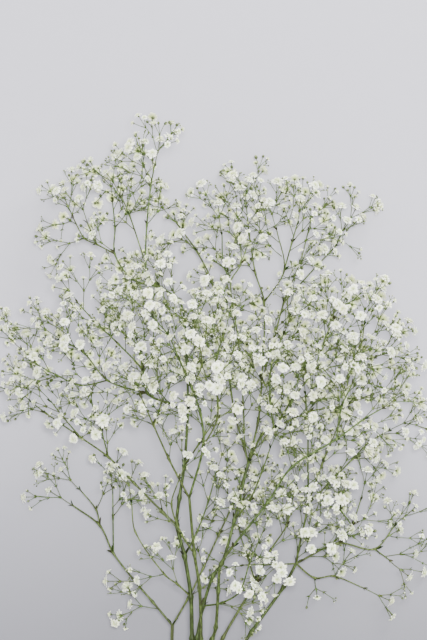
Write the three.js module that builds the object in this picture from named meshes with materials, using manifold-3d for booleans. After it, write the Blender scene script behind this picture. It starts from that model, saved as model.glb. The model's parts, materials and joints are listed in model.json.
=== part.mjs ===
// Gypsophila stem: one cut, much-branched flowering stem of a double white gypsophila, lying down.
// Units are millimetres and +Z is up. The stem runs along +Y, from its cut end to its top sprays.
// Each spray is one solid: its limbs, with the forking cymes of thin twigs that carry blooms and buds.

import * as THREE from "three";
import { mergeVertices } from "three/addons/utils/BufferGeometryUtils.js";
import Module from "manifold-3d";

const wasm = await Module();
wasm.setup();

// Driving dimensions
const SEED = 101;
const GAP = 0.3; // clear space left between two nodes
const STUB = 6.5; // length of a side branch that stays with the limb it grows from
const TWIG_RADIUS = 0.46;
const INTERNODE = 13; // first twig of a cyme
const INTERNODE_RATIO = 0.86; // each further twig, against the one it grows from
const PEDICEL = 9; // stalk of the flower in the middle of a fork
const FORK_TILT = 31; // degrees between a twig and the two side twigs at its end
const SIDE_TILT = 43; // degrees between a limb and a cyme on its side
const TIP_TILT = 6; // degrees between a limb and the cyme on its tip
const GOLDEN_ANGLE = 137.5; // degrees between the cymes of a limb, from one point to the next
const BLOOM_RADIUS = 4.3;
const BUD_RADIUS = 1.3;
const LEAF_LENGTH = 6;
const LEAF_WIDTH = 1.5;
const LEAF_WIDEST = 0.45; // where a leaf is widest, in shares of its length
const LEAF_KEEL = 0.5; // height of a leaf's ridge
const LEAF_TILT = 50; // degrees between a leaf and the limb that it stands on
const ORIGIN_X = 6; // the origin, from the cut end of the trunk
const ORIGIN_Y = 300;
const TABLE_SINK = 0.8; // how far petals are pressed flat by the surface that the stem lies on
const SURFACE_SIZE = [900, 1500, 20]; // the block that stands for that surface

// Corners of the cross-sections: counts for the main stem, azimuths for sprays and twigs
const TRUNK_CORNERS = 8;
const AXIS_CORNERS = 5;
const LIMB_CORNERS = [45, 135, 225, 315];
const TWIG_CORNERS = [90, 210, 330];
const FOOT_LENGTH = 1.6; // of what grows from the side of a limb, in radii of that limb
const LEAF_CORNERS = [0, 100, 260];
const PETAL_CORNERS = [0, 60, 120, 180, 240, 300];

// The form of a head, in shares of its radius
const BLOOM_CENTRE = 0.35;
const BLOOM_RADII = [1, 0.78]; // petal tips and the notches between them
const BLOOM_HEIGHTS = [0.42, 0.66];
const BLOOM_TOP = 0.95;
const BUD_BELLY = 1.15;
const BUD_TOP = 2.3;

// How cymes vary
const BLOOM_SHARE = [0.08, 0.36, 0.78, 0.92, 1]; // chance of an open flower, by forks still to come
const KEEP_EVERY_BUD = 32;
const HEAD_SIZE = [0.86, 1.08]; // of flowers and buds, against their radii above
const LENGTH_SPREAD = [0.84, 1.16];
const TILT_SPREAD = [-6, 7];
const AZIMUTH_SPREAD = [-8, 8];
const TWIST_SPREAD = [-25, 25]; // degrees between the planes of two forks, one on the other
const MIDDLE_TILT = [6, 14];
const MIDDLE_AZIMUTH = 270;
const SIDE_AZIMUTHS = [12, 168];

// Turns of azimuth and shares of the tilt that a shoot tries, until one of them is free
const FORK_TRIES = [[0, 1], [20, 1], [-20, 1], [0, 0.6], [0, 1.35], [25, 1.3], [-25, 1.3]];
const LIMB_TRIES = [[0, 1], [60, 1], [-60, 1], [120, 1], [-120, 1], [180, 1]];
const STEEPEST_BEND = 0.8; // cosine of the most that a shoot is bent up off the surface
const NARROWEST_FORK = 0.88; // cosine of the least angle between a cyme and a limb beside it
const CELL = 14; // side of the cells for finding what is near
const ROOM = GAP + 0.1; // least clear space round a new shoot

// Limbs: name, node, limb it grows from, point there, radius at its base and tip, and its points.
// A point is x, y, z and the number of times the cyme that leaves there forks, 0 for none.
const LIMBS = [
  ["trunk", "main_stem", null, 0, 2.2, 1.1, [
    [0, 0, 1.98, 0], [0, 26, 1.98, 0], [0, 102, 22, 0], [-1, 134, 31, 0], [-2, 158, 38, 0],
    [-4, 180, 44, 0], [-5, 214, 52, 0], [-10, 247, 58, 0], [-16, 272, 62, 0], [-14, 294, 67, 0],
    [-10, 320, 72, 0], [-7, 363, 80, 0]]],
  ["left axis", "main_stem", "trunk", 2, 1.6, 1.3, [
    [-13, 140, 25, 0], [-20, 172, 27, 0], [-20, 189, 29, 0]]],
  ["front axis", "main_stem", "trunk", 3, 1.5, 1.1, [
    [3, 180, 51, 0], [2, 222, 66, 0], [-2, 250, 76, 0], [-6, 295, 88, 0]]],
  ["middle axis", "main_stem", "trunk", 4, 1.4, 1.1, [
    [0, 180, 38, 0], [5, 206, 44, 0], [13, 231, 51, 0], [20, 241, 54, 0], [30, 276, 59, 0],
    [41, 322, 64, 0]]],
  ["high axis", "main_stem", "trunk", 4, 1.4, 1.1, [
    [12, 180, 52, 0], [15, 190, 57, 0], [17, 220, 72, 0], [19, 242, 82, 0], [28, 256, 88, 0]]],
  ["right axis", "main_stem", "trunk", 3, 1.3, 1.0, [
    [21, 180, 36, 0], [47, 224, 38, 0]]],
  ["low axis", "main_stem", "trunk", 2, 1.5, 1.2, [
    [20, 144, 20, 0], [44, 183, 20, 0], [70, 220, 24, 0], [80, 239, 28, 0]]],

  ["low left", "spray_low_left", "left axis", 3, 0.9, 0.7, [
    [-36, 208, 27, 0], [-50, 224, 24, 1], [-68, 247, 20, 0], [-79, 269, 16, 0], [-101, 285, 10, 3]]],
  ["low left inner", "spray_low_left", "low left", 4, 0.6, 0.5, [
    [-82, 282, 17, 1], [-95, 298, 14, 3]]],
  ["low left upper", "spray_low_left", "low left", 3, 0.6, 0.5, [
    [-68, 277, 31, 2], [-68, 300, 38, 2]]],
  ["back middle", "spray_back_middle", "left axis", 3, 0.9, 0.6, [
    [-7, 212, 33, 2], [5, 236, 35, 2], [18, 264, 33, 3], [33, 296, 30, 2], [39, 314, 30, 3]]],
  ["left thin", "spray_left_thin", "trunk", 6, 0.7, 0.5, [
    [-15, 224, 60, 3], [-26, 233, 66, 2], [-49, 267, 72, 0], [-52, 290, 74, 2]]],
  ["left long", "spray_left_long", "trunk", 8, 1.0, 0.5, [
    [-27, 282, 62, 2], [-50, 305, 58, 1], [-71, 326, 53, 2], [-94, 342, 47, 0], [-122, 361, 39, 2],
    [-134, 370, 35, 3]]],
  ["left long side", "spray_left_long", "left long", 3, 0.6, 0.5, [
    [-76, 346, 63, 2], [-80, 360, 70, 2]]],
  ["left long outer", "spray_left_long", "left long", 4, 0.6, 0.5, [
    [-107, 358, 56, 2], [-116, 370, 62, 3]]],
  ["top left", "spray_top_left", "trunk", 11, 1.0, 0.5, [
    [-8, 404, 78, 3], [-13, 450, 74, 3], [-29, 462, 72, 0], [-39, 470, 70, 3], [-41, 481, 68, 0],
    [-40, 512, 66, 2], [-37, 542, 66, 3], [-34, 558, 68, 3]]],
  ["top left inner", "spray_top_left", "top left", 5, 0.6, 0.5, [
    [-54, 520, 60, 3], [-60, 534, 60, 3]]],
  ["top left side", "spray_top_left", "top left", 3, 0.8, 0.5, [
    [-52, 469, 60, 3], [-66, 489, 52, 2], [-66, 510, 46, 3], [-68, 530, 42, 3]]],
  ["top left outer", "spray_top_left", "top left side", 2, 0.6, 0.5, [
    [-81, 497, 42, 2], [-91, 502, 34, 3], [-100, 518, 26, 3]]],
  ["top left far", "spray_top_left", "top left outer", 1, 0.6, 0.5, [
    [-88, 514, 52, 3]]],
  ["centre left", "spray_centre_left", "trunk", 11, 1.0, 0.5, [
    [-23, 370, 88, 2], [-39, 378, 94, 0], [-42, 395, 98, 3], [-62, 417, 94, 3], [-80, 434, 90, 2],
    [-94, 449, 84, 1]]],
  ["centre left upper", "spray_centre_left", "centre left", 3, 0.6, 0.5, [
    [-45, 410, 107, 2], [-47, 420, 111, 3]]],
  ["centre left side", "spray_centre_left", "centre left", 2, 0.7, 0.5, [
    [-71, 388, 80, 3], [-90, 410, 80, 3], [-108, 420, 78, 3]]],
  ["centre left low", "spray_centre_left", "centre left side", 1, 0.6, 0.5, [
    [-93, 384, 70, 2], [-112, 392, 64, 3], [-130, 402, 60, 2], [-140, 412, 58, 3]]],
  ["inner left", "spray_inner_left", "front axis", 4, 0.9, 0.5, [
    [-22, 326, 96, 2], [-34, 353, 104, 1], [-43, 374, 112, 3]]],
  ["inner left side", "spray_inner_left", "inner left", 2, 0.6, 0.5, [
    [-27, 372, 116, 3]]],
  ["centre", "spray_centre", "front axis", 4, 1.0, 0.5, [
    [5, 336, 100, 2], [3, 362, 110, 2], [-4, 383, 116, 0], [-14, 406, 124, 2], [-22, 424, 128, 3],
    [-34, 438, 130, 3]]],
  ["centre upper", "spray_centre", "centre", 3, 0.6, 0.5, [
    [4, 401, 128, 2], [2, 418, 134, 3]]],
  ["centre side", "spray_centre", "centre", 1, 0.7, 0.5, [
    [16, 358, 106, 1], [16, 385, 118, 2], [16, 407, 124, 2], [22, 426, 122, 3]]],
  ["top middle", "spray_top_middle", "middle axis", 6, 0.9, 0.5, [
    [38, 333, 62, 0], [30, 362, 56, 2], [23, 410, 48, 3], [12, 466, 38, 1], [0, 491, 32, 3],
    [-12, 508, 28, 1], [-18, 516, 26, 2]]],
  ["top middle side", "spray_top_middle", "top middle", 1, 0.7, 0.5, [
    [37, 368, 62, 2], [33, 420, 58, 2], [27, 466, 52, 2], [35, 481, 50, 3], [34, 504, 50, 3]]],
  ["top middle inner", "spray_top_middle", "top middle side", 3, 0.6, 0.5, [
    [21, 482, 54, 3], [20, 504, 56, 3]]],
  ["top right", "spray_top_right", "middle axis", 6, 0.9, 0.5, [
    [49, 355, 54, 2], [52, 387, 48, 2], [54, 450, 38, 0], [47, 474, 33, 3], [42, 506, 28, 3],
    [40, 526, 26, 3]]],
  ["top right outer", "spray_top_right", "top right", 2, 0.7, 0.5, [
    [62, 420, 38, 2], [70, 450, 31, 0], [83, 482, 25, 2], [90, 508, 23, 3]]],
  ["top right low", "spray_top_right", "top right outer", 2, 0.6, 0.5, [
    [97, 480, 23, 0], [112, 496, 18, 2], [118, 508, 16, 3]]],
  ["top right inner", "spray_top_right", "top right", 3, 0.6, 0.5, [
    [70, 476, 48, 2], [64, 508, 50, 3]]],
  ["top right middle", "spray_top_right", "top right inner", 1, 0.6, 0.5, [
    [76, 498, 56, 3], [80, 512, 60, 3]]],
  ["right upper", "spray_right_upper", "middle axis", 6, 1.0, 0.5, [
    [52, 345, 74, 0], [61, 350, 78, 0], [75, 372, 86, 3], [92, 396, 94, 3], [102, 423, 98, 3],
    [108, 436, 100, 3]]],
  ["right upper outer", "spray_right_upper", "right upper", 4, 0.6, 0.5, [
    [122, 402, 90, 3], [140, 406, 86, 3]]],
  ["right upper far", "spray_right_upper", "right upper outer", 1, 0.6, 0.5, [
    [130, 418, 98, 3], [132, 432, 102, 3]]],
  ["right upper inner", "spray_right_upper", "right upper", 2, 0.7, 0.5, [
    [58, 373, 90, 2], [59, 400, 98, 3], [68, 424, 100, 3]]],
  ["right upper low", "spray_right_upper", "right upper", 2, 0.7, 0.5, [
    [90, 363, 70, 3], [118, 368, 64, 2], [138, 376, 60, 3]]],
  ["right upper middle", "spray_right_upper", "right upper low", 2, 0.6, 0.5, [
    [115, 384, 74, 3]]],
  ["right long", "spray_right_long", "high axis", 5, 1.0, 0.5, [
    [56, 292, 96, 2], [75, 320, 102, 2], [110, 342, 104, 2], [132, 358, 102, 3], [146, 366, 98, 3]]],
  ["right long side", "spray_right_long", "right long", 3, 0.6, 0.5, [
    [114, 368, 114, 2], [122, 386, 118, 3]]],
  ["right middle", "spray_right_middle", "low axis", 4, 1.0, 0.5, [
    [82, 251, 32, 2], [89, 287, 40, 2], [89, 324, 46, 2], [89, 351, 48, 3], [87, 376, 50, 3]]],
  ["right middle inner", "spray_right_middle", "right middle", 3, 0.6, 0.5, [
    [77, 340, 56, 2], [72, 352, 62, 2]]],
  ["right middle side", "spray_right_middle", "right middle", 2, 0.7, 0.5, [
    [101, 321, 42, 3], [108, 338, 44, 2], [119, 366, 44, 3], [121, 388, 44, 3]]],
  ["right middle low", "spray_right_middle", "right middle", 2, 0.7, 0.5, [
    [126, 324, 30, 3], [139, 337, 28, 0], [154, 346, 26, 2]]],
  ["low right", "spray_low_right", "low axis", 4, 0.9, 0.5, [
    [114, 255, 22, 3], [144, 250, 15, 0], [160, 268, 12, 2]]],
  ["low right upper", "spray_low_right", "low right", 1, 0.6, 0.5, [
    [125, 270, 28, 3], [132, 290, 30, 2]]],
  ["low right inner", "spray_low_right", "low right upper", 1, 0.6, 0.5, [
    [116, 282, 38, 2], [108, 290, 46, 2]]],
  ["low right outer", "spray_low_right", "low right", 2, 0.6, 0.5, [
    [156, 241, 9, 2]]],
  ["low hanging", "spray_low_hanging", "low axis", 4, 0.8, 0.5, [
    [95, 227, 20, 2], [111, 228, 15, 2], [135, 218, 8, 2]]],
  ["low crossing", "spray_low_crossing", "low axis", 4, 0.7, 0.5, [
    [66, 239, 38, 1], [38, 239, 45, 2]]],
  ["low middle", "spray_low_middle", "right axis", 2, 0.8, 0.5, [
    [59, 251, 48, 2], [72, 272, 54, 3], [78, 302, 58, 3]]],
  ["low inner", "spray_low_inner", "right axis", 2, 0.7, 0.5, [
    [41, 244, 28, 2], [34, 268, 20, 2], [38, 292, 16, 3]]],
  ["low front", "spray_low_front", "middle axis", 2, 0.8, 0.5, [
    [20, 210, 62, 2], [34, 220, 76, 2], [42, 244, 88, 1], [52, 268, 94, 2]]],
  ["inner front", "spray_inner_front", "front axis", 3, 0.8, 0.5, [
    [-12, 266, 86, 2], [-20, 290, 92, 2], [-14, 310, 98, 3]]],
  ["inner back", "spray_inner_back", "trunk", 7, 0.8, 0.5, [
    [0, 266, 50, 2], [9, 290, 44, 2], [16, 316, 40, 3]]],
  ["inner right", "spray_inner_right", "middle axis", 5, 0.8, 0.5, [
    [42, 292, 70, 2], [52, 316, 78, 2], [58, 334, 84, 3]]],
  ["inner middle", "spray_inner_middle", "trunk", 10, 0.8, 0.5, [
    [2, 338, 78, 1], [14, 356, 82, 3]]],
];

// Small vector helpers
const vec = (x, y, z) => new THREE.Vector3(x, y, z);
const along = (from, direction, distance) => from.clone().addScaledVector(direction, distance);
const unit = (from, to) => to.clone().sub(from).normalize();
const radians = (degrees) => (degrees * Math.PI) / 180;

// A unit vector square to the axis, taken from the hint or else from the vertical.
function squareTo(axis, hint) {
  const side = hint.clone().addScaledVector(axis, -hint.dot(axis));
  return side.length() > 0.2 ? side.normalize() : squareTo(axis, vec(0.3, 0.5, 0.8));
}

// The direction tilted away from the axis, towards the azimuth counted from the side vector.
function tilted(axis, side, azimuth, tilt) {
  const across = axis.clone().cross(side);
  return axis.clone().multiplyScalar(Math.cos(radians(tilt)))
    .addScaledVector(side, Math.sin(radians(tilt)) * Math.cos(radians(azimuth)))
    .addScaledVector(across, Math.sin(radians(tilt)) * Math.sin(radians(azimuth)))
    .normalize();
}

let state = SEED;
function random(low, high) {
  state = (state * 48271) % 2147483647;
  return low + (high - low) * (state / 2147483647);
}

// Closest distance between two straight segments.
function segmentDistance(p, q, r, s) {
  const u = q.clone().sub(p);
  const v = s.clone().sub(r);
  const w = p.clone().sub(r);
  const a = u.dot(u);
  const b = u.dot(v);
  const c = v.dot(v);
  const d = u.dot(w);
  const e = v.dot(w);
  const clamp = (value) => Math.min(1, Math.max(0, value));
  const slope = a * c - b * b;
  let first = slope > 1e-9 ? clamp((b * e - c * d) / slope) : 0;
  const second = c > 1e-9 ? clamp((b * first + e) / c) : 0;
  first = a > 1e-9 ? clamp((b * second - d) / a) : 0;
  return along(p, u, first).distanceTo(along(r, v, second));
}

// Everything that has grown so far, as rods with round ends, in a grid of cells for quick look-up.
const cells = new Map();

function cellKeys(rod) {
  const keys = [];
  const span = (axis) => [
    Math.floor((Math.min(rod.from[axis], rod.to[axis]) - rod.radius - 1) / CELL),
    Math.floor((Math.max(rod.from[axis], rod.to[axis]) + rod.radius + 1) / CELL),
  ];
  const [x, y, z] = [span("x"), span("y"), span("z")];
  for (let i = x[0]; i <= x[1]; i++)
    for (let j = y[0]; j <= y[1]; j++)
      for (let k = z[0]; k <= z[1]; k++) keys.push(`${i},${j},${k}`);
  return keys;
}

function remember(rod) {
  for (const key of cellKeys(rod)) {
    if (!cells.has(key)) cells.set(key, []);
    cells.get(key).push(rod);
  }
}

// Free space for the rod, but for the rods that it is jointed to.
function isFree(rod) {
  for (const key of cellKeys(rod))
    for (const other of cells.get(key) ?? []) {
      if (rod.joints.some((joint) => other.joints.includes(joint))) continue;
      const room = rod.radius + other.radius + ROOM;
      if (segmentDistance(rod.from, rod.to, other.from, other.to) < room) return false;
    }
  return true;
}

// Limbs with their points as vectors, each first point being the one that it grows from.
let jointCount = 0;
const limbs = new Map();
for (const [name, node, parentName, parentPoint, baseRadius, tipRadius, route] of LIMBS) {
  const parent = limbs.get(parentName);
  const points = route.map(([x, y, z]) => vec(x, y, z));
  const joints = route.map(() => ++jointCount);
  const forks = route.map((point) => point[3]);
  if (parent) {
    points.unshift(parent.points[parentPoint]);
    joints.unshift(parent.joints[parentPoint]);
    forks.unshift(0);
  }
  const radii = points.map((_, i) => baseRadius + ((tipRadius - baseRadius) * i) / (points.length - 1));
  limbs.set(name, { name, node, parent, parentPoint, points, joints, forks, radii, cymes: [] });
}
for (const { points, joints, radii } of limbs.values())
  for (let i = 1; i < points.length; i++) {
    const ends = { from: points[i - 1], to: points[i], joints: [joints[i - 1], joints[i]] };
    remember({ ...ends, radius: radii[i - 1] });
  }

// A head is an open flower or a bud. It sits on the end of its stalk.
function headRod(kind, size, end, direction, joint) {
  const radius = kind === "bloom" ? BLOOM_RADIUS * size : BUD_RADIUS * size;
  const centre = along(end, direction, kind === "bloom" ? BLOOM_CENTRE * radius : radius);
  return { from: centre, to: centre, radius, joints: [joint] };
}

// Bends a shoot's end up where it would sink into the surface that the stem lies on.
function liftedEnd(end, kind, size) {
  const reach = kind === "bloom" ? BLOOM_RADIUS * size - TABLE_SINK : kind === "bud" ? 2 * BUD_RADIUS : 1;
  return vec(end.x, end.y, Math.max(end.z, reach));
}

// One shoot from the joint at its parent's end, clear of everything that has grown before it.
function growShoot(parent, azimuth, tilt, length, kind, tries = FORK_TRIES) {
  const size = random(...HEAD_SIZE);
  const twist = random(...TWIST_SPREAD);
  for (const [turn, spread] of tries) {
    const wanted = tilted(parent.axis, parent.side, azimuth + turn, tilt * spread);
    const end = liftedEnd(along(parent.end, wanted, length), kind, size);
    const axis = unit(parent.end, end);
    if (axis.dot(wanted) < STEEPEST_BEND) continue;
    if (parent.beside?.some((limbAxis) => axis.dot(limbAxis) > NARROWEST_FORK)) continue;
    const joint = jointCount + 1;
    const rod = { from: parent.end, to: end, radius: TWIG_RADIUS, joints: [parent.joint, joint] };
    const head = kind ? headRod(kind, size, end, axis, joint) : null;
    if (!isFree(rod) || (head && !isFree(head))) continue;
    jointCount += 1;
    remember(rod);
    if (head) remember(head);
    const level = axis.clone().cross(parent.side);
    const side = squareTo(axis, tilted(axis, squareTo(axis, level), twist, 90));
    return { start: parent.end, end, axis, side, joint, kind, size, children: [] };
  }
  return null;
}

// A fork: a flower on a stalk in the middle, and a shoot to each side that may fork again.
function growFork(shoot, forks, length) {
  const kindFor = (level) => (random(0, 1) < BLOOM_SHARE[level] ? "bloom" : "bud");
  const stalk = PEDICEL * random(...LENGTH_SPREAD);
  const middle = growShoot(shoot, MIDDLE_AZIMUTH, random(...MIDDLE_TILT), stalk, kindFor(forks));
  const sides = SIDE_AZIMUTHS.map((azimuth) => {
    const kind = forks > 1 ? null : kindFor(0);
    const turned = azimuth + random(...AZIMUTH_SPREAD);
    const tilt = FORK_TILT + random(...TILT_SPREAD);
    const side = growShoot(shoot, turned, tilt, length * random(...LENGTH_SPREAD), kind);
    if (side && forks > 1) growFork(side, forks - 1, length * INTERNODE_RATIO);
    return side;
  });
  shoot.children = [sides[0], sides[1], middle];
  if (!shoot.children.some(Boolean)) shoot.kind = "bud";
}

// Cymes leave a limb at its points, turned on by the golden angle, and one goes on from its tip.
for (const limb of limbs.values()) {
  state = SEED * limb.joints[1];
  limb.points.forEach((point, i) => {
    if (!limb.forks[i]) return;
    const axis = unit(limb.points[i - 1], point);
    const isTip = i === limb.points.length - 1;
    const beside = [...limbs.values()]
      .filter((child) => child.parent === limb && child.parentPoint === i)
      .map((child) => unit(child.points[0], child.points[1]));
    if (!isTip) beside.push(unit(point, limb.points[i + 1]));
    const base = { end: point, axis, side: squareTo(axis, vec(0, 0, 1)), joint: limb.joints[i], beside };
    const azimuth = GOLDEN_ANGLE * i + random(...AZIMUTH_SPREAD);
    const tilt = isTip ? TIP_TILT : SIDE_TILT + random(...TILT_SPREAD);
    const tries = isTip ? FORK_TRIES : LIMB_TRIES;
    const root = growShoot(base, azimuth, tilt, INTERNODE * random(...LENGTH_SPREAD), null, tries);
    if (!root) return;
    growFork(root, limb.forks[i], INTERNODE * INTERNODE_RATIO);
    limb.cymes.push({ point: i, root });
  });
}

// Thins the buds, and drops the twigs that are then left bare. A cyme on a tip keeps its farthest head.
let budCount = 0;
function farthest(shoot, from) {
  const ends = shoot.children.filter(Boolean).map((child) => farthest(child, from));
  return ends.reduce((best, end) => (end.distanceTo(from) > best.distanceTo(from) ? end : best), shoot.end);
}
function thinned(shoot, keptEnd) {
  if (shoot.kind === "bloom") return shoot;
  if (shoot.kind === "bud") {
    budCount += 1;
    return budCount % KEEP_EVERY_BUD === 0 || shoot.end === keptEnd ? shoot : null;
  }
  const children = shoot.children.map((child) => child && thinned(child, keptEnd));
  return children.some(Boolean) ? { ...shoot, children } : null;
}

// One closed surface, built up from rings of points and the triangles between them.
class Shell {
  constructor() {
    this.positions = [];
    this.triangles = [];
  }

  point(position, azimuth = 0) {
    this.positions.push(position);
    return { index: this.positions.length - 1, azimuth };
  }

  // A ring round an axis. Radii and heights repeat round it where they are fewer than its points.
  ring(centre, axis, side, azimuths, radii, heights = [0]) {
    return azimuths.map((azimuth, i) => {
      const out = along(centre, tilted(axis, side, azimuth, 90), radii[i % radii.length]);
      return this.point(along(out, axis, heights[i % heights.length]), azimuth);
    });
  }

  triangle(a, b, c) {
    this.triangles.push([a.index, b.index, c.index]);
  }

  // Joins two rings, which may have different numbers of points, by going round both at once.
  bridge(lower, upper) {
    const turn = (angle) => ((angle % 360) + 360) % 360;
    const nearest = (angle) => turn(angle + 180) - 180;
    const from = lower[0].azimuth;
    const offset = (point) => Math.abs(nearest(point.azimuth - from));
    const start = upper.reduce((best, point, i) => (offset(point) < offset(upper[best]) ? i : best), 0);
    const unrolled = (ring, first, angle) => {
      const list = [{ index: ring[first].index, azimuth: angle }];
      for (let i = 1; i <= ring.length; i++) {
        const next = ring[(first + i) % ring.length];
        const step = turn(next.azimuth - ring[(first + i - 1) % ring.length].azimuth);
        list.push({ index: next.index, azimuth: list[i - 1].azimuth + (step || 360) });
      }
      return list;
    };
    const low = unrolled(lower, 0, from);
    const high = unrolled(upper, start, from + nearest(upper[start].azimuth - from));
    let i = 0;
    let j = 0;
    while (i < lower.length || j < upper.length) {
      const lowNext = i < lower.length ? low[i + 1].azimuth : Infinity;
      const highNext = j < upper.length ? high[j + 1].azimuth : Infinity;
      if (lowNext <= highNext) {
        this.triangle(low[i], low[i + 1], high[j]);
        i += 1;
      } else {
        this.triangle(low[i], high[j + 1], high[j]);
        j += 1;
      }
    }
  }

  close(ring, apex) {
    ring.forEach((point, i) => this.triangle(point, ring[(i + 1) % ring.length], apex));
  }

  cap(ring, facesBack = false) {
    for (let i = 1; i < ring.length - 1; i++) {
      if (facesBack) this.triangle(ring[0], ring[i + 1], ring[i]);
      else this.triangle(ring[0], ring[i], ring[i + 1]);
    }
  }

  solid() {
    const vertProperties = new Float32Array(this.positions.flatMap((point) => point.toArray()));
    const triVerts = new Uint32Array(this.triangles.flat());
    return new wasm.Manifold(new wasm.Mesh({ numProp: 3, vertProperties, triVerts }));
  }
}

// The azimuth of a direction round an axis, counted from the side vector.
function azimuthOf(direction, axis, side) {
  const across = axis.clone().cross(side);
  return THREE.MathUtils.radToDeg(Math.atan2(direction.dot(across), direction.dot(side)));
}

// The same ring with azimuths counted round another axis.
function seenAlong(shell, ring, axis, side) {
  const centre = vec(0, 0, 0);
  ring.forEach(({ index }) => centre.addScaledVector(shell.positions[index], 1 / ring.length));
  return ring.map(({ index }) => ({
    index,
    azimuth: azimuthOf(shell.positions[index].clone().sub(centre), axis, side),
  }));
}

// A double flower in few faces: a bell, three wide petals with notches between them, a raised middle.
function addBloom(shell, stalk, { end, axis, side, size }) {
  const r = BLOOM_RADIUS * size;
  const radii = BLOOM_RADII.map((share) => share * r);
  const heights = BLOOM_HEIGHTS.map((share) => share * r);
  const petals = shell.ring(end, axis, side, PETAL_CORNERS, radii, heights);
  shell.bridge(stalk, petals);
  shell.close(petals, shell.point(along(end, axis, BLOOM_TOP * r)));
}

function addBud(shell, stalk, { end, axis, side, size }) {
  const r = BUD_RADIUS * size;
  const belly = shell.ring(end, axis, side, TWIG_CORNERS, [BUD_BELLY * r], [r]);
  shell.bridge(stalk, belly);
  shell.close(belly, shell.point(along(end, axis, BUD_TOP * r)));
}

// A twig with three sides. Each of the three faces of its pointed end is the foot of a side shoot.
function addShoot(shell, foot, shoot) {
  const { end, axis, side } = shoot;
  const corners = shell.ring(end, axis, side, TWIG_CORNERS, [TWIG_RADIUS]);
  shell.bridge(seenAlong(shell, foot, axis, side), corners);
  if (shoot.kind === "bloom") return addBloom(shell, corners, shoot);
  if (shoot.kind === "bud") return addBud(shell, corners, shoot);
  const point = shell.point(along(end, axis, TWIG_RADIUS));
  shoot.children.forEach((child, i) => {
    const face = [corners[(i + 2) % 3], corners[i % 3], point];
    if (child) addShoot(shell, face, child);
    else shell.cap(face);
  });
}

// A narrow leaf that stands below a side limb.
function addLeaf(shell, foot, direction, limbAxis) {
  const side = squareTo(direction, limbAxis);
  const start = shell.positions[foot[2].index];
  const middle = along(start, direction, LEAF_WIDEST * LEAF_LENGTH);
  const radii = [LEAF_KEEL, LEAF_WIDTH / 2, LEAF_WIDTH / 2];
  const edges = shell.ring(middle, direction, side, LEAF_CORNERS, radii);
  shell.bridge(seenAlong(shell, foot, direction, side), edges);
  shell.close(edges, shell.point(along(start, direction, LEAF_LENGTH)));
}

// One length of a limb between two rings. What grows from the lower ring has its foot on a side face.
function addLength(shell, lower, upper, grown, span) {
  lower.forEach((a, i) => {
    const next = (i + 1) % lower.length;
    const [b, c, d] = [lower[next], upper[next], upper[i]];
    if (!grown[i]) {
      shell.triangle(a, b, c);
      shell.triangle(a, c, d);
      return;
    }
    const at = ({ index }) => shell.positions[index];
    const bottom = at(a).clone().lerp(at(b), 0.5);
    const top = shell.point(bottom.lerp(at(c).clone().lerp(at(d), 0.5), span));
    shell.triangle(a, top, d);
    shell.triangle(top, b, c);
    shell.triangle(top, c, d);
    grown[i]([a, b, top]);
  });
}

// What grows from the limb at its point i: cymes, further limbs, and a pair of leaves below a limb.
function growthAt(shell, limb, i, axis, side) {
  const faces = Array(LIMB_CORNERS.length).fill(null);
  const place = (direction, build) => {
    const azimuth = azimuthOf(direction, axis, side);
    const fit = (face) => Math.cos(radians(azimuth - LIMB_CORNERS[face] - 180 / LIMB_CORNERS.length));
    const free = faces.map((_, face) => face).filter((face) => !faces[face]);
    const best = free.reduce((a, b) => (fit(b) > fit(a) ? b : a));
    faces[best] = build;
  };
  const further = [...limbs.values()].filter((child) => child.parent === limb && child.parentPoint === i);
  for (const child of further) {
    const direction = unit(child.points[0], child.points[1]);
    if (child.node === limb.node) place(direction, (foot) => addLimb(shell, foot, child));
  }
  for (const { root } of limb.cymes.filter((cyme) => cyme.point === i))
    place(root.axis, (foot) => addShoot(shell, foot, root));
  if (further.length)
    faces.forEach((face, k) => {
      if (face) return;
      const direction = tilted(axis, side, LIMB_CORNERS[k] + 180 / LIMB_CORNERS.length, LEAF_TILT);
      faces[k] = (foot) => addLeaf(shell, foot, direction, axis);
    });
  return faces;
}

// A limb of a spray, tapering through its points. The cyme on its tip grows out of its last ring.
function addLimb(shell, foot, limb) {
  const { points, radii } = limb;
  let previous = null;
  let faces = [];
  points.forEach((point, i) => {
    const axis = unit(points[Math.max(i - 1, 0)], points[Math.min(i + 1, points.length - 1)]);
    const side = squareTo(axis, vec(0, 0, -1));
    if (i === 0 && foot) return;
    const start = i === 0 ? along(point, axis, STUB + GAP) : point;
    const ring = shell.ring(start, axis, side, LIMB_CORNERS, [radii[i]]);
    const footShare = (FOOT_LENGTH * radii[i]) / point.distanceTo(points[Math.max(i - 1, 0)]);
    if (i === 0) shell.cap(ring, true);
    else if (previous) addLength(shell, previous, ring, faces, footShare);
    else shell.bridge(seenAlong(shell, foot, axis, side), ring);
    previous = ring;
    faces = i > 0 && i < points.length - 1 ? growthAt(shell, limb, i, axis, side) : [];
  });
  const tip = limb.cymes.find((cyme) => cyme.point === points.length - 1);
  if (tip) addShoot(shell, previous, tip.root);
  else shell.cap(previous);
}

function spraySolid(firstLimb) {
  const shell = new Shell();
  addLimb(shell, null, firstLimb);
  return shell.solid();
}

// A tapered loft through the points, with flat ends.
function loft(points, radii, corners) {
  const shell = new Shell();
  const azimuths = Array.from({ length: corners }, (_, i) => ((i + 0.5) * 360) / corners);
  let previous = null;
  points.forEach((point, i) => {
    const axis = unit(points[Math.max(i - 1, 0)], points[Math.min(i + 1, points.length - 1)]);
    const ring = shell.ring(point, axis, squareTo(axis, vec(0, 0, -1)), azimuths, [radii[i]]);
    if (previous) shell.bridge(previous, ring);
    else shell.cap(ring, true);
    previous = ring;
  });
  shell.cap(previous);
  return shell.solid();
}

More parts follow.
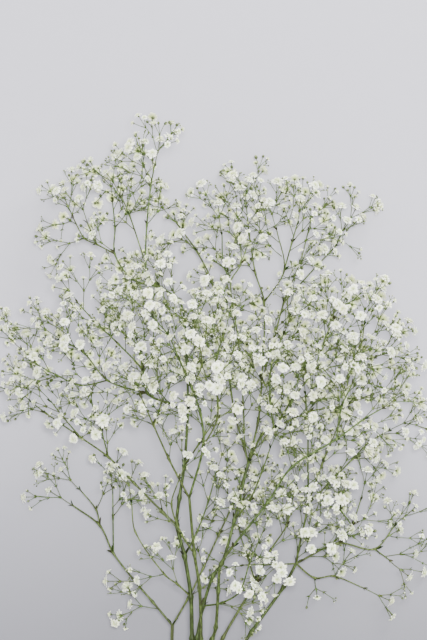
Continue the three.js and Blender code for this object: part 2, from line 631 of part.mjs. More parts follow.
// The trunk and its main axes, with the feet of the sprays, which stay with what they grow from.
function mainStemSolid() {
  const solids = [];
  for (const limb of limbs.values()) {
    if (limb.node === "main_stem") {
      solids.push(loft(limb.points, limb.radii, limb.parent ? AXIS_CORNERS : TRUNK_CORNERS));
    } else if (limb.parent.node === "main_stem") {
      const [from, next] = limb.points;
      const end = along(from, unit(from, next), STUB);
      solids.push(loft([from, end], [limb.radii[0], limb.radii[0]], LIMB_CORNERS.length));
    }
  }
  return solids.reduce((joined, solid) => joined.add(solid));
}

// Everything below the surface that the stem lies on is pressed flat.
function belowSurface() {
  const box = new THREE.BoxGeometry(...SURFACE_SIZE);
  box.translate(0, ORIGIN_Y, -SURFACE_SIZE[2] / 2);
  box.deleteAttribute("normal");
  box.deleteAttribute("uv");
  const merged = mergeVertices(box);
  return new wasm.Manifold(new wasm.Mesh({
    numProp: 3,
    vertProperties: new Float32Array(merged.attributes.position.array),
    triVerts: new Uint32Array(merged.index.array),
  }));
}

function toGeometry(solid) {
  const mesh = solid.getMesh();
  const geometry = new THREE.BufferGeometry();
  geometry.setAttribute("position", new THREE.BufferAttribute(mesh.vertProperties, 3));
  geometry.setIndex(new THREE.BufferAttribute(mesh.triVerts, 1));
  return geometry;
}

const stemGreen = new THREE.MeshStandardMaterial({ color: 0x7d8a5e, roughness: 0.6, metalness: 0 });
const sprayWhite = new THREE.MeshStandardMaterial({ color: 0xe6e8dc, roughness: 0.8, metalness: 0 });

// The part's origin is under the middle of its length and width, on the surface that it lies on.
const stem = new THREE.Group();
stem.position.set(-ORIGIN_X, -ORIGIN_Y, 0);
const surface = belowSurface();
function addPiece(name, solid, material) {
  const mesh = new THREE.Mesh(toGeometry(solid.subtract(surface)), material);
  mesh.name = name;
  stem.add(mesh);
}

for (const limb of limbs.values())
  for (const cyme of limb.cymes) {
    const isTip = cyme.point === limb.points.length - 1;
    cyme.root = thinned(cyme.root, isTip ? farthest(cyme.root, cyme.root.start) : null);
  }
for (const limb of limbs.values()) limb.cymes = limb.cymes.filter((cyme) => cyme.root);

addPiece("main_stem", mainStemSolid(), stemGreen);
for (const limb of limbs.values())
  if (limb.parent && limb.node !== limb.parent.node) addPiece(limb.node, spraySolid(limb), sprayWhite);

export default stem;
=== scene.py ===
import json
import math
from collections import defaultdict
from itertools import product
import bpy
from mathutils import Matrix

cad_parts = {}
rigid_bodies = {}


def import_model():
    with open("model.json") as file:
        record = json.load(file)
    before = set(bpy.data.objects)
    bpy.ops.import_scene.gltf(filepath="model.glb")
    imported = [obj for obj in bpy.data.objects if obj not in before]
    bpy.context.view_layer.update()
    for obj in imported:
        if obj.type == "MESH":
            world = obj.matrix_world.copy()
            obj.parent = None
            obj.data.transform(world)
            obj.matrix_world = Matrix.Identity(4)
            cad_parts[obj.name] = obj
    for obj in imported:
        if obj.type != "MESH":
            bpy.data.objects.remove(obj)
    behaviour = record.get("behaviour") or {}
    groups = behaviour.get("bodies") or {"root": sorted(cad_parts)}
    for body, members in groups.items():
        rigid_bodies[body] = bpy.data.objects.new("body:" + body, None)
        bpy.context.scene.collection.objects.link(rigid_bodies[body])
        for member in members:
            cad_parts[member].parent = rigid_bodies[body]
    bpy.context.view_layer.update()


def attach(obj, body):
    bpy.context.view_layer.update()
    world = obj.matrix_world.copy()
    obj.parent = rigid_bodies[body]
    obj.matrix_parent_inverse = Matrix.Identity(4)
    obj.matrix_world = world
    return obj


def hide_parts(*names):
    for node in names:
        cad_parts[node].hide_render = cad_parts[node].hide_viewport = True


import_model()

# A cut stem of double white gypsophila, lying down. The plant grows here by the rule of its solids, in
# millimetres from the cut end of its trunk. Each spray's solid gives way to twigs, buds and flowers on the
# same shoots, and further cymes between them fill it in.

from types import SimpleNamespace

import bpy
import numpy as np
from mathutils import Vector

MM = 0.001
ORIGIN = np.array((6.0, 300.0, 0.0))  # the part's origin, from the cut end of the trunk

# The branching, with the same values as the solids
SEED = 101
TWIG_RADIUS = 0.46
INTERNODE = 13
INTERNODE_RATIO = 0.86
PEDICEL = 9
FORK_TILT = 31
SIDE_TILT = 43
TIP_TILT = 6
GOLDEN_ANGLE = 137.5
BLOOM_RADIUS = 4.3
BUD_RADIUS = 1.3
TABLE_SINK = 0.8
LOWEST_FORK = 1
BLOOM_CENTRE = 0.35
BLOOM_SHARE = (0.08, 0.36, 0.78, 0.92, 1)
HEAD_SIZE = (0.86, 1.08)
LENGTH_SPREAD = (0.84, 1.16)
TILT_SPREAD = (-6, 7)
AZIMUTH_SPREAD = (-8, 8)
TWIST_SPREAD = (-25, 25)
MIDDLE_TILT = (6, 14)
MIDDLE_AZIMUTH = 270
SIDE_AZIMUTHS = (12, 168)
FORK_TRIES = ((0, 1), (20, 1), (-20, 1), (0, 0.6), (0, 1.35), (25, 1.3), (-25, 1.3))
LIMB_TRIES = ((0, 1), (60, 1), (-60, 1), (120, 1), (-120, 1), (180, 1))
STEEPEST_BEND = 0.8
NARROWEST_FORK = 0.88
CELL = 14
ROOM = 0.4  # between any two of its parts
MOST_RODS = 20000

# What only the dressed plant has
FILLER_SEED = 1000
FILLER_FORKS = 3
FILLER_PLACES = (0.35, 0.7)  # along each stretch of a limb
# Where the plant is full: the middle of each place in x and y, and how far it reaches from there
FULL_PLACES = np.array((
    ((20, 405), (214, 86)), ((-77, 540), (70, 40)), ((60, 518), (64, 36)), ((96, 280), (48, 44)),
    ((12, 278), (20, 34)), ((78, 252), (38, 33)),
))
LEAST_FULL = 0.12
LEAF_LENGTH = 9
UPPER_LEAF_LENGTH = 6
TWIG_SKIN = (0.36, 0.22)  # radius of the first twig of a cyme, and of its last ones
STALK_RADII = (0.21, 0.15)  # of a young bud's stalk, from its foot
PETAL_THICKNESS = 0.16
OPENING_SHARE = 0.88  # of the rule's buds, where they have room
YOUNG_FLOWER_RADIUS = 2.9
SINGLE_SHARE = 0.55  # of the other buds, the rest being young ones in threes
PRESSED = 1  # lower parts are pressed together on the surface that the stem lies on
CREASE = math.radians(50)  # edges that turn more than this are sharp

# Limbs: name, limb it grows from, point there, radius at its base and tip, and its points.
# A point is x, y, z and the number of times the cyme that leaves there forks, 0 for none.
LIMBS = [
  ["trunk", None, 0, 2.2, 1.1, [
    [0, 0, 1.98, 0], [0, 26, 1.98, 0], [0, 102, 22, 0], [-1, 134, 31, 0], [-2, 158, 38, 0],
    [-4, 180, 44, 0], [-5, 214, 52, 0], [-10, 247, 58, 0], [-16, 272, 62, 0], [-14, 294, 67, 0],
    [-10, 320, 72, 0], [-7, 363, 80, 0]]],
  ["left axis", "trunk", 2, 1.6, 1.3, [
    [-13, 140, 25, 0], [-20, 172, 27, 0], [-20, 189, 29, 0]]],
  ["front axis", "trunk", 3, 1.5, 1.1, [
    [3, 180, 51, 0], [2, 222, 66, 0], [-2, 250, 76, 0], [-6, 295, 88, 0]]],
  ["middle axis", "trunk", 4, 1.4, 1.1, [
    [0, 180, 38, 0], [5, 206, 44, 0], [13, 231, 51, 0], [20, 241, 54, 0], [30, 276, 59, 0],
    [41, 322, 64, 0]]],
  ["high axis", "trunk", 4, 1.4, 1.1, [
    [12, 180, 52, 0], [15, 190, 57, 0], [17, 220, 72, 0], [19, 242, 82, 0], [28, 256, 88, 0]]],
  ["right axis", "trunk", 3, 1.3, 1.0, [
    [21, 180, 36, 0], [47, 224, 38, 0]]],
  ["low axis", "trunk", 2, 1.5, 1.2, [
    [20, 144, 20, 0], [44, 183, 20, 0], [70, 220, 24, 0], [80, 239, 28, 0]]],

  ["low left", "left axis", 3, 0.9, 0.7, [
    [-36, 208, 27, 0], [-50, 224, 24, 1], [-68, 247, 20, 0], [-79, 269, 16, 0], [-101, 285, 10, 3]]],
  ["low left inner", "low left", 4, 0.6, 0.5, [
    [-82, 282, 17, 1], [-95, 298, 14, 3]]],
  ["low left upper", "low left", 3, 0.6, 0.5, [
    [-68, 277, 31, 2], [-68, 300, 38, 2]]],
  ["back middle", "left axis", 3, 0.9, 0.6, [
    [-7, 212, 33, 2], [5, 236, 35, 2], [18, 264, 33, 3], [33, 296, 30, 2], [39, 314, 30, 3]]],
  ["left thin", "trunk", 6, 0.7, 0.5, [
    [-15, 224, 60, 3], [-26, 233, 66, 2], [-49, 267, 72, 0], [-52, 290, 74, 2]]],
  ["left long", "trunk", 8, 1.0, 0.5, [
    [-27, 282, 62, 2], [-50, 305, 58, 1], [-71, 326, 53, 2], [-94, 342, 47, 0], [-122, 361, 39, 2],
    [-134, 370, 35, 3]]],
  ["left long side", "left long", 3, 0.6, 0.5, [
    [-76, 346, 63, 2], [-80, 360, 70, 2]]],
  ["left long outer", "left long", 4, 0.6, 0.5, [
    [-107, 358, 56, 2], [-116, 370, 62, 3]]],
  ["top left", "trunk", 11, 1.0, 0.5, [
    [-8, 404, 78, 3], [-13, 450, 74, 3], [-29, 462, 72, 0], [-39, 470, 70, 3], [-41, 481, 68, 0],
    [-40, 512, 66, 2], [-37, 542, 66, 3], [-34, 558, 68, 3]]],
  ["top left inner", "top left", 5, 0.6, 0.5, [
    [-54, 520, 60, 3], [-60, 534, 60, 3]]],
  ["top left side", "top left", 3, 0.8, 0.5, [
    [-52, 469, 60, 3], [-66, 489, 52, 2], [-66, 510, 46, 3], [-68, 530, 42, 3]]],
  ["top left outer", "top left side", 2, 0.6, 0.5, [
    [-81, 497, 42, 2], [-91, 502, 34, 3], [-100, 518, 26, 3]]],
  ["top left far", "top left outer", 1, 0.6, 0.5, [
    [-88, 514, 52, 3]]],
  ["centre left", "trunk", 11, 1.0, 0.5, [
    [-23, 370, 88, 2], [-39, 378, 94, 0], [-42, 395, 98, 3], [-62, 417, 94, 3], [-80, 434, 90, 2],
    [-94, 449, 84, 1]]],
  ["centre left upper", "centre left", 3, 0.6, 0.5, [
    [-45, 410, 107, 2], [-47, 420, 111, 3]]],
  ["centre left side", "centre left", 2, 0.7, 0.5, [
    [-71, 388, 80, 3], [-90, 410, 80, 3], [-108, 420, 78, 3]]],
  ["centre left low", "centre left side", 1, 0.6, 0.5, [
    [-93, 384, 70, 2], [-112, 392, 64, 3], [-130, 402, 60, 2], [-140, 412, 58, 3]]],
  ["inner left", "front axis", 4, 0.9, 0.5, [
    [-22, 326, 96, 2], [-34, 353, 104, 1], [-43, 374, 112, 3]]],
  ["inner left side", "inner left", 2, 0.6, 0.5, [
    [-27, 372, 116, 3]]],
  ["centre", "front axis", 4, 1.0, 0.5, [
    [5, 336, 100, 2], [3, 362, 110, 2], [-4, 383, 116, 0], [-14, 406, 124, 2], [-22, 424, 128, 3],
    [-34, 438, 130, 3]]],
  ["centre upper", "centre", 3, 0.6, 0.5, [
    [4, 401, 128, 2], [2, 418, 134, 3]]],
  ["centre side", "centre", 1, 0.7, 0.5, [
    [16, 358, 106, 1], [16, 385, 118, 2], [16, 407, 124, 2], [22, 426, 122, 3]]],
  ["top middle", "middle axis", 6, 0.9, 0.5, [
    [38, 333, 62, 0], [30, 362, 56, 2], [23, 410, 48, 3], [12, 466, 38, 1], [0, 491, 32, 3],
    [-12, 508, 28, 1], [-18, 516, 26, 2]]],
  ["top middle side", "top middle", 1, 0.7, 0.5, [
    [37, 368, 62, 2], [33, 420, 58, 2], [27, 466, 52, 2], [35, 481, 50, 3], [34, 504, 50, 3]]],
  ["top middle inner", "top middle side", 3, 0.6, 0.5, [
    [21, 482, 54, 3], [20, 504, 56, 3]]],
  ["top right", "middle axis", 6, 0.9, 0.5, [
    [49, 355, 54, 2], [52, 387, 48, 2], [54, 450, 38, 0], [47, 474, 33, 3], [42, 506, 28, 3],
    [40, 526, 26, 3]]],
  ["top right outer", "top right", 2, 0.7, 0.5, [
    [62, 420, 38, 2], [70, 450, 31, 0], [83, 482, 25, 2], [90, 508, 23, 3]]],
  ["top right low", "top right outer", 2, 0.6, 0.5, [
    [97, 480, 23, 0], [112, 496, 18, 2], [118, 508, 16, 3]]],
  ["top right inner", "top right", 3, 0.6, 0.5, [
    [70, 476, 48, 2], [64, 508, 50, 3]]],
  ["top right middle", "top right inner", 1, 0.6, 0.5, [
    [76, 498, 56, 3], [80, 512, 60, 3]]],
  ["right upper", "middle axis", 6, 1.0, 0.5, [
    [52, 345, 74, 0], [61, 350, 78, 0], [75, 372, 86, 3], [92, 396, 94, 3], [102, 423, 98, 3],
    [108, 436, 100, 3]]],
  ["right upper outer", "right upper", 4, 0.6, 0.5, [
    [122, 402, 90, 3], [140, 406, 86, 3]]],
  ["right upper far", "right upper outer", 1, 0.6, 0.5, [
    [130, 418, 98, 3], [132, 432, 102, 3]]],
  ["right upper inner", "right upper", 2, 0.7, 0.5, [
    [58, 373, 90, 2], [59, 400, 98, 3], [68, 424, 100, 3]]],
  ["right upper low", "right upper", 2, 0.7, 0.5, [
    [90, 363, 70, 3], [118, 368, 64, 2], [138, 376, 60, 3]]],
  ["right upper middle", "right upper low", 2, 0.6, 0.5, [
    [115, 384, 74, 3]]],
  ["right long", "high axis", 5, 1.0, 0.5, [
    [56, 292, 96, 2], [75, 320, 102, 2], [110, 342, 104, 2], [132, 358, 102, 3], [146, 366, 98, 3]]],
  ["right long side", "right long", 3, 0.6, 0.5, [
    [114, 368, 114, 2], [122, 386, 118, 3]]],
  ["right middle", "low axis", 4, 1.0, 0.5, [
    [82, 251, 32, 2], [89, 287, 40, 2], [89, 324, 46, 2], [89, 351, 48, 3], [87, 376, 50, 3]]],
  ["right middle inner", "right middle", 3, 0.6, 0.5, [
    [77, 340, 56, 2], [72, 352, 62, 2]]],
  ["right middle side", "right middle", 2, 0.7, 0.5, [
    [101, 321, 42, 3], [108, 338, 44, 2], [119, 366, 44, 3], [121, 388, 44, 3]]],
  ["right middle low", "right middle", 2, 0.7, 0.5, [
    [126, 324, 30, 3], [139, 337, 28, 0], [154, 346, 26, 2]]],
  ["low right", "low axis", 4, 0.9, 0.5, [
    [114, 255, 22, 3], [144, 250, 15, 0], [160, 268, 12, 2]]],
  ["low right upper", "low right", 1, 0.6, 0.5, [
    [125, 270, 28, 3], [132, 290, 30, 2]]],
  ["low right inner", "low right upper", 1, 0.6, 0.5, [
    [116, 282, 38, 2], [108, 290, 46, 2]]],
  ["low right outer", "low right", 2, 0.6, 0.5, [
    [156, 241, 9, 2]]],
  ["low hanging", "low axis", 4, 0.8, 0.5, [
    [95, 227, 20, 2], [111, 228, 15, 2], [135, 218, 8, 2]]],
  ["low crossing", "low axis", 4, 0.7, 0.5, [
    [66, 239, 38, 1], [38, 239, 45, 2]]],
  ["low middle", "right axis", 2, 0.8, 0.5, [
    [59, 251, 48, 2], [72, 272, 54, 3], [78, 302, 58, 3]]],
  ["low inner", "right axis", 2, 0.7, 0.5, [
    [41, 244, 28, 2], [34, 268, 20, 2], [38, 292, 16, 3]]],
  ["low front", "middle axis", 2, 0.8, 0.5, [
    [20, 210, 62, 2], [34, 220, 76, 2], [42, 244, 88, 1], [52, 268, 94, 2]]],
  ["inner front", "front axis", 3, 0.8, 0.5, [
    [-12, 266, 86, 2], [-20, 290, 92, 2], [-14, 310, 98, 3]]],
  ["inner back", "trunk", 7, 0.8, 0.5, [
    [0, 266, 50, 2], [9, 290, 44, 2], [16, 316, 40, 3]]],
  ["inner right", "middle axis", 5, 0.8, 0.5, [
    [42, 292, 70, 2], [52, 316, 78, 2], [58, 334, 84, 3]]],
  ["inner middle", "trunk", 10, 0.8, 0.5, [
    [2, 338, 78, 1], [14, 356, 82, 3]]],
]


# Vectors
def vec(x, y, z):
    return np.array((x, y, z), dtype=float)


def size_of(v):
    return math.sqrt(v @ v)


def unit(v):
    return v / size_of(v)


def cross(a, b):
    return vec(a[1] * b[2] - a[2] * b[1], a[2] * b[0] - a[0] * b[2], a[0] * b[1] - a[1] * b[0])


UP = vec(0, 0, 1)
DOWN = vec(0, 0, -1)
SLANTING = vec(0.3, 0.5, 0.8)
LEAST_SIDE = 0.2  # of a hint that is of use


def square_to(axis, hint):
    """A unit vector square to the axis, taken from the hint or else from a slanting line."""
    side = hint - axis * (hint @ axis)
    return unit(side) if size_of(side) > LEAST_SIDE else square_to(axis, SLANTING)


def tilted(axis, side, azimuth, tilt):
    """The direction tilted away from the axis, towards the azimuth counted from the side vector."""
    azimuth, tilt = math.radians(azimuth), math.radians(tilt)
    out = side * math.cos(azimuth) + cross(axis, side) * math.sin(azimuth)
    return unit(axis * math.cos(tilt) + out * math.sin(tilt))


def spokes(axis, side, angles):
    """Unit vectors square to the axis, at these angles from the side vector."""
    return np.outer(np.cos(angles), side) + np.outer(np.sin(angles), cross(axis, side))


# How the plant grows
DRAW_FACTOR = 48271
DRAW_RANGE = 2147483647


class Draws:
    """The random numbers of the plant's rule: the same row of them for the same state."""

    state = SEED

    def between(self, low, high):
        self.state = self.state * DRAW_FACTOR % DRAW_RANGE
        return low + (high - low) * (self.state / DRAW_RANGE)


CELL_MARGIN = 1
NO_LENGTH = 1e-9  # a rod shorter than this is a ball


class Grown:
    def __init__(self):
        self.count = 0
        self.ends = np.zeros((2, MOST_RODS, 3))
        self.radii = np.zeros(MOST_RODS)
        self.joints = np.zeros((MOST_RODS, 2), dtype=int)
        self.cells = defaultdict(list)

    def cells_of(self, rod):
        low = np.minimum(rod.start, rod.end) - rod.radius - CELL_MARGIN
        high = np.maximum(rod.start, rod.end) + rod.radius + CELL_MARGIN
        spans = [range(math.floor(a / CELL), math.floor(b / CELL) + 1) for a, b in zip(low, high)]
        return product(*spans)

    def remember(self, rod):
        self.ends[0, self.count] = rod.start
        self.ends[1, self.count] = rod.end
        self.radii[self.count] = rod.radius
        self.joints[self.count] = rod.joints
        for cell in self.cells_of(rod):
            self.cells[cell].append(self.count)
        self.count += 1

    def is_free(self, rod):
        """Free space for the rod, but for the rods that it is jointed to."""
        near = sorted({i for cell in self.cells_of(rod) for i in self.cells.get(cell, ())})
        jointed = np.isin(self.joints[near], [joint for joint in rod.joints if joint]).any(axis=1)
        near = np.array(near, dtype=int)[~jointed]
        if not len(near):
            return True
        gaps = self.distances(rod, *self.ends[:, near])
        return bool((gaps >= rod.radius + self.radii[near] + ROOM).all())

    @staticmethod
    def distances(rod, starts, ends):
        """Closest distance between the rod's middle line and each of the others."""
        u = rod.end - rod.start
        v = ends - starts
        w = rod.start - starts
        a, b, c, d, e = u @ u, v @ u, (v * v).sum(axis=1), w @ u, (v * w).sum(axis=1)
        slope = a * c - b * b
        with np.errstate(divide="ignore", invalid="ignore"):
            first = np.where(slope > NO_LENGTH, np.clip((b * e - c * d) / slope, 0, 1), 0)
            second = np.where(c > NO_LENGTH, np.clip((b * first + e) / c, 0, 1), 0)
            first = np.clip((b * second - d) / a, 0, 1) if a > NO_LENGTH else np.zeros(len(v))
        between = rod.start + first[:, None] * u - starts - second[:, None] * v
        return np.sqrt((between * between).sum(axis=1))


draws = Draws()
grown = Grown()
joint_count = 0


def new_joint():
    global joint_count
    joint_count += 1
    return joint_count


def rod_of(start, end, radius, *joints):
    return SimpleNamespace(start=start, end=end, radius=radius, joints=(joints + (0,))[:2])


def node_of(name, parent):
    """The trunk and its axes are the main stem. A limb on them begins a spray."""
    if parent and parent.node != "main_stem":
        return parent.node
    return "main_stem" if name == "trunk" or name.endswith("axis") else "spray_" + name.replace(" ", "_")


def plan_limbs():
    """Limbs with their points as vectors, each first point being the one that it grows from."""
    limbs = {}
    for name, parent_name, parent_point, base_radius, tip_radius, route in LIMBS:
        parent = limbs.get(parent_name)
        points = [vec(*point[:3]) for point in route]
        forks = [point[3] for point in route]
        joints = [new_joint() for _ in route]
        if parent:
            points.insert(0, parent.points[parent_point])
            forks.insert(0, 0)
            joints.insert(0, parent.joints[parent_point])
        last = len(points) - 1
        radii = [base_radius + (tip_radius - base_radius) * i / last for i in range(len(points))]
        limbs[name] = SimpleNamespace(
            name=name, node=node_of(name, parent), parent_point=parent_point, points=points, forks=forks,
            joints=joints, radii=radii, cymes=[], fillers=[], children=[],
        )
        if parent:
            parent.children.append(limbs[name])
    for limb in limbs.values():
        for i in range(1, len(limb.points)):
            ends = limb.points[i - 1], limb.points[i]
            grown.remember(rod_of(*ends, limb.radii[i - 1], limb.joints[i - 1], limb.joints[i]))
    return limbs


def head_rod(kind, size, end, direction, joint):
    """A head is an open flower or a bud. It sits on the end of its stalk."""
    radius = (BLOOM_RADIUS if kind == "bloom" else BUD_RADIUS) * size
    centre = end + direction * radius * (BLOOM_CENTRE if kind == "bloom" else 1)
    return rod_of(centre, centre, radius, joint)


def lifted_end(end, kind, size):
    """Bends a shoot's end up where it would sink into the surface that the stem lies on."""
    lowest = {"bloom": BLOOM_RADIUS * size - TABLE_SINK, "bud": 2 * BUD_RADIUS}.get(kind, LOWEST_FORK)
    return vec(end[0], end[1], max(end[2], lowest))


def grow_shoot(parent, azimuth, tilt, length, kind, tries=FORK_TRIES):
    """One shoot from the joint at its parent's end, clear of everything that has grown before it."""
    size = draws.between(*HEAD_SIZE)
    twist = draws.between(*TWIST_SPREAD)
    for turn, spread in tries:
        wanted = tilted(parent.axis, parent.side, azimuth + turn, tilt * spread)
        end = lifted_end(parent.end + wanted * length, kind, size)
        axis = unit(end - parent.end)
        if axis @ wanted < STEEPEST_BEND or any(axis @ limb > NARROWEST_FORK for limb in parent.beside):
            continue
        rod = rod_of(parent.end, end, TWIG_RADIUS, parent.joint, joint_count + 1)
        head = head_rod(kind, size, end, axis, joint_count + 1) if kind else None
        if not grown.is_free(rod) or (head and not grown.is_free(head)):
            continue
        grown.remember(rod)
        if head:
            grown.remember(head)
        level = square_to(axis, cross(axis, parent.side))
        side = square_to(axis, tilted(axis, level, twist, 90))
        return SimpleNamespace(
            start=parent.end, end=end, axis=axis, side=side, joint=new_joint(), kind=kind, size=size,
            order=parent.order + 1, beside=(), children=[],
        )
    return None


def grow_fork(shoot, forks, length):
    """A fork: a flower on a stalk in the middle, and a shoot to each side that may fork again."""

    def kind_for(level):
        return "bloom" if draws.between(0, 1) < BLOOM_SHARE[level] else "bud"

    stalk = PEDICEL * draws.between(*LENGTH_SPREAD)
    middle_tilt = draws.between(*MIDDLE_TILT)
    middle = grow_shoot(shoot, MIDDLE_AZIMUTH, middle_tilt, stalk, kind_for(forks))
    sides = []
    for azimuth in SIDE_AZIMUTHS:
        kind = None if forks > 1 else kind_for(0)
        turned = azimuth + draws.between(*AZIMUTH_SPREAD)
        tilt = FORK_TILT + draws.between(*TILT_SPREAD)
        side = grow_shoot(shoot, turned, tilt, length * draws.between(*LENGTH_SPREAD), kind)
        if side and forks > 1:
            grow_fork(side, forks - 1, length * INTERNODE_RATIO)
        sides.append(side)
    shoot.children = [child for child in (*sides, middle) if child]
    if not shoot.children:
        shoot.kind = "bud"


def foot_on(limb, i, point, axis, beside):
    """Where a cyme leaves its limb, and the directions that it keeps clear of."""
    return SimpleNamespace(
        end=point, axis=axis, side=square_to(axis, UP), joint=limb.joints[i], order=0, beside=beside,
    )


def grow_cymes(limb):
    """Cymes leave a limb at its points, turned on by the golden angle, and one goes on from its tip."""
    draws.state = SEED * limb.joints[1]
    for i, point in enumerate(limb.points):
        if not limb.forks[i]:
            continue
        axis = unit(point - limb.points[i - 1])
        is_tip = i == len(limb.points) - 1
        leaving = [child for child in limb.children if child.parent_point == i]
        beside = [unit(child.points[1] - child.points[0]) for child in leaving]
        if not is_tip:
            beside.append(unit(limb.points[i + 1] - point))
        foot = foot_on(limb, i, point, axis, beside)
        azimuth = GOLDEN_ANGLE * i + draws.between(*AZIMUTH_SPREAD)
        tilt = TIP_TILT if is_tip else SIDE_TILT + draws.between(*TILT_SPREAD)
        length = INTERNODE * draws.between(*LENGTH_SPREAD)
        root = grow_shoot(foot, azimuth, tilt, length, None, FORK_TRIES if is_tip else LIMB_TRIES)
        if root:
            grow_fork(root, limb.forks[i], INTERNODE * INTERNODE_RATIO)
            limb.cymes.append((i, root))


limbs = plan_limbs()
for limb in limbs.values():
    grow_cymes(limb)


# Fillers, which only the dressed plant has
def grow_fillers(limb):
    """Small cymes from the middle of a limb's stretches, where there is room and the plant is full."""
    draws.state = SEED * (limb.joints[1] + FILLER_SEED)
    for i in range(1, len(limb.points)):
        span = limb.points[i] - limb.points[i - 1]
        for share in FILLER_PLACES:
            point = limb.points[i - 1] + span * share
            if fullness(point) < draws.between(0, 1):
                continue
            axis = unit(span)
            foot = foot_on(limb, i, point, axis, [axis])
            length = INTERNODE * draws.between(*LENGTH_SPREAD)
            root = grow_shoot(foot, draws.between(0, 360), SIDE_TILT, length, None, LIMB_TRIES)
            if root:
                grow_fork(root, FILLER_FORKS, INTERNODE * INTERNODE_RATIO)
                limb.fillers.append(root)


def fullness(point):
    """How full the plant is here, from 1 in the middle of its full places to its least outside them."""
    places = ((point[:2] - centre) / reach for centre, reach in FULL_PLACES)
    return max(LEAST_FULL, *(1 - place @ place for place in places))


for limb in limbs.values():
    if limb.node != "main_stem":
        grow_fillers(limb)


# How its surfaces are built
class Skin:
    """A mesh in the making: points and faces, and for each point its reach, from the trunk or the claw out,
    and its tint, which is its age."""

    def __init__(self):
        self.points = []
        self.faces = []
        self.reach = []
        self.tint = []
        self.count = 0

    def add(self, points, faces, reach, tint):
        """Corners are counted from the first of these points. Reach and tint are one number or one each."""
        self.points.append(points)
        self.faces += [[self.count + corner for corner in face] for face in faces]
        self.reach.append(np.broadcast_to(reach, len(points)))
        self.tint.append(np.broadcast_to(tint, len(points)))
        self.count += len(points)

    def piece(self, name, material):
        points = np.concatenate(self.points) - ORIGIN
        heights = points[:, 2]
        points[:, 2] = np.where(heights < PRESSED, PRESSED * np.exp(heights / PRESSED - 1), heights)
        mesh = bpy.data.meshes.new(name)
        mesh.from_pydata(points * MM, [], self.faces)
        for key, values in (("reach", self.reach), ("tint", self.tint)):
            mesh.attributes.new(key, "FLOAT", "POINT").data.foreach_set("value", np.concatenate(values))
        mesh.shade_smooth()
        mesh.set_sharp_from_angle(angle=CREASE)
        mesh.materials.append(material)
        made = bpy.data.objects.new(name, mesh)
        bpy.context.scene.collection.objects.link(made)
        return made


def tube_faces(rings, sides):
    """Quads between rings of points, closed at both ends by a point of their own."""
    faces = []
    for ring in range(rings - 1):
        low, high = ring * sides, (ring + 1) * sides
        for i in range(sides):
            j = (i + 1) % sides
            faces.append((low + i, low + j, high + j, high + i))
    top, first, last = (rings - 1) * sides, rings * sides, rings * sides + 1
    for i in range(sides):
        j = (i + 1) % sides
        faces.append((j, i, first))
        faces.append((top + i, top + j, last))
    return faces


def add_tube(skin, path, radii, sides, caps, reach, tint):
    """A round tube along the path. Caps are how far its two end points stand out."""
    path = np.asarray(path)
    radii = np.asarray(radii)
    along = np.gradient(path, axis=0)
    along /= np.linalg.norm(along, axis=1)[:, None]
    side = square_to(along[0], DOWN)
    around = 2 * math.pi * np.arange(sides) / sides
    rings = []
    for centre, axis, radius in zip(path, along, radii):
        side = square_to(axis, side)
        rings.append(centre + radius * spokes(axis, side, around))
    ends = (path[0] - along[0] * caps[0], path[-1] + along[-1] * caps[1])
    reach = np.broadcast_to(reach, len(path))
    reach = np.concatenate((np.repeat(reach, sides), reach[[0, -1]]))
    skin.add(np.concatenate((*rings, ends)), tube_faces(len(path), sides), reach, tint)


def add_turned(skin, start, axis, side, profile, radius, sides, tint, teeth=1):
    """A form turned round an axis, from rows of radius, height and reach. Its last ring can have teeth."""
    radii, heights, reach = profile
    out = spokes(axis, side, 2 * math.pi * np.arange(sides) / sides)
    rings = [start + radius * (r * out + h * axis) for r, h in zip(radii, heights)]
    rings[-1] = rings[-2] + (rings[-1] - rings[-2]) * np.reshape(teeth, (-1, 1))
    top = heights[-1] if np.ndim(teeth) == 0 else heights[-2]
    ends = (start + axis * heights[0] * radius, start + axis * top * radius)
    reach = np.concatenate((np.repeat(reach, sides), (reach[0], reach[-1])))
    skin.add(np.concatenate((*rings, ends)), tube_faces(len(heights), sides), reach, tint)


def spline(points, steps):
    """A smooth route through the points, with these steps from each to the next, and their places."""
    points = np.asarray(points)
    before = 2 * points[0] - points[1]
    after = 2 * points[-1] - points[-2]
    whole = np.vstack((before, points, after))
    route, places = [], []
    for i in range(1, len(whole) - 2):
        p0, p1, p2, p3 = whole[i - 1:i + 3]
        reach = size_of(p2 - p1)
        start = (p2 - p0) / (size_of(p1 - p0) + reach) * reach
        end = (p3 - p1) / (size_of(p3 - p2) + reach) * reach
        for t in steps:
            route.append(
                p1 * (2 * t**3 - 3 * t**2 + 1) + start * (t**3 - 2 * t**2 + t)
                + p2 * (3 * t**2 - 2 * t**3) + end * (t**3 - t**2)
            )
            places.append(i - 1 + t)
    route.append(points[-1])
    places.append(len(points) - 1)
    return np.array(route), np.array(places)


# The stem and its twigs
LIMB_STEPS = (0, 0.04, 0.1, 0.22, 0.4, 0.6, 0.78, 0.9, 0.96)
LIMB_SKIN = 0.94  # radius of a round limb, in shares of the radius of its cornered solid
LIMB_CAP = 0.2
LIMB_TINT = (0.2, 0.8)
THICKEST = 2.2  # radius of the trunk, where the skin is darkest
SWELLING = 0.65  # how much thicker a limb is at its joints
SWELLING_LENGTH = 2.2


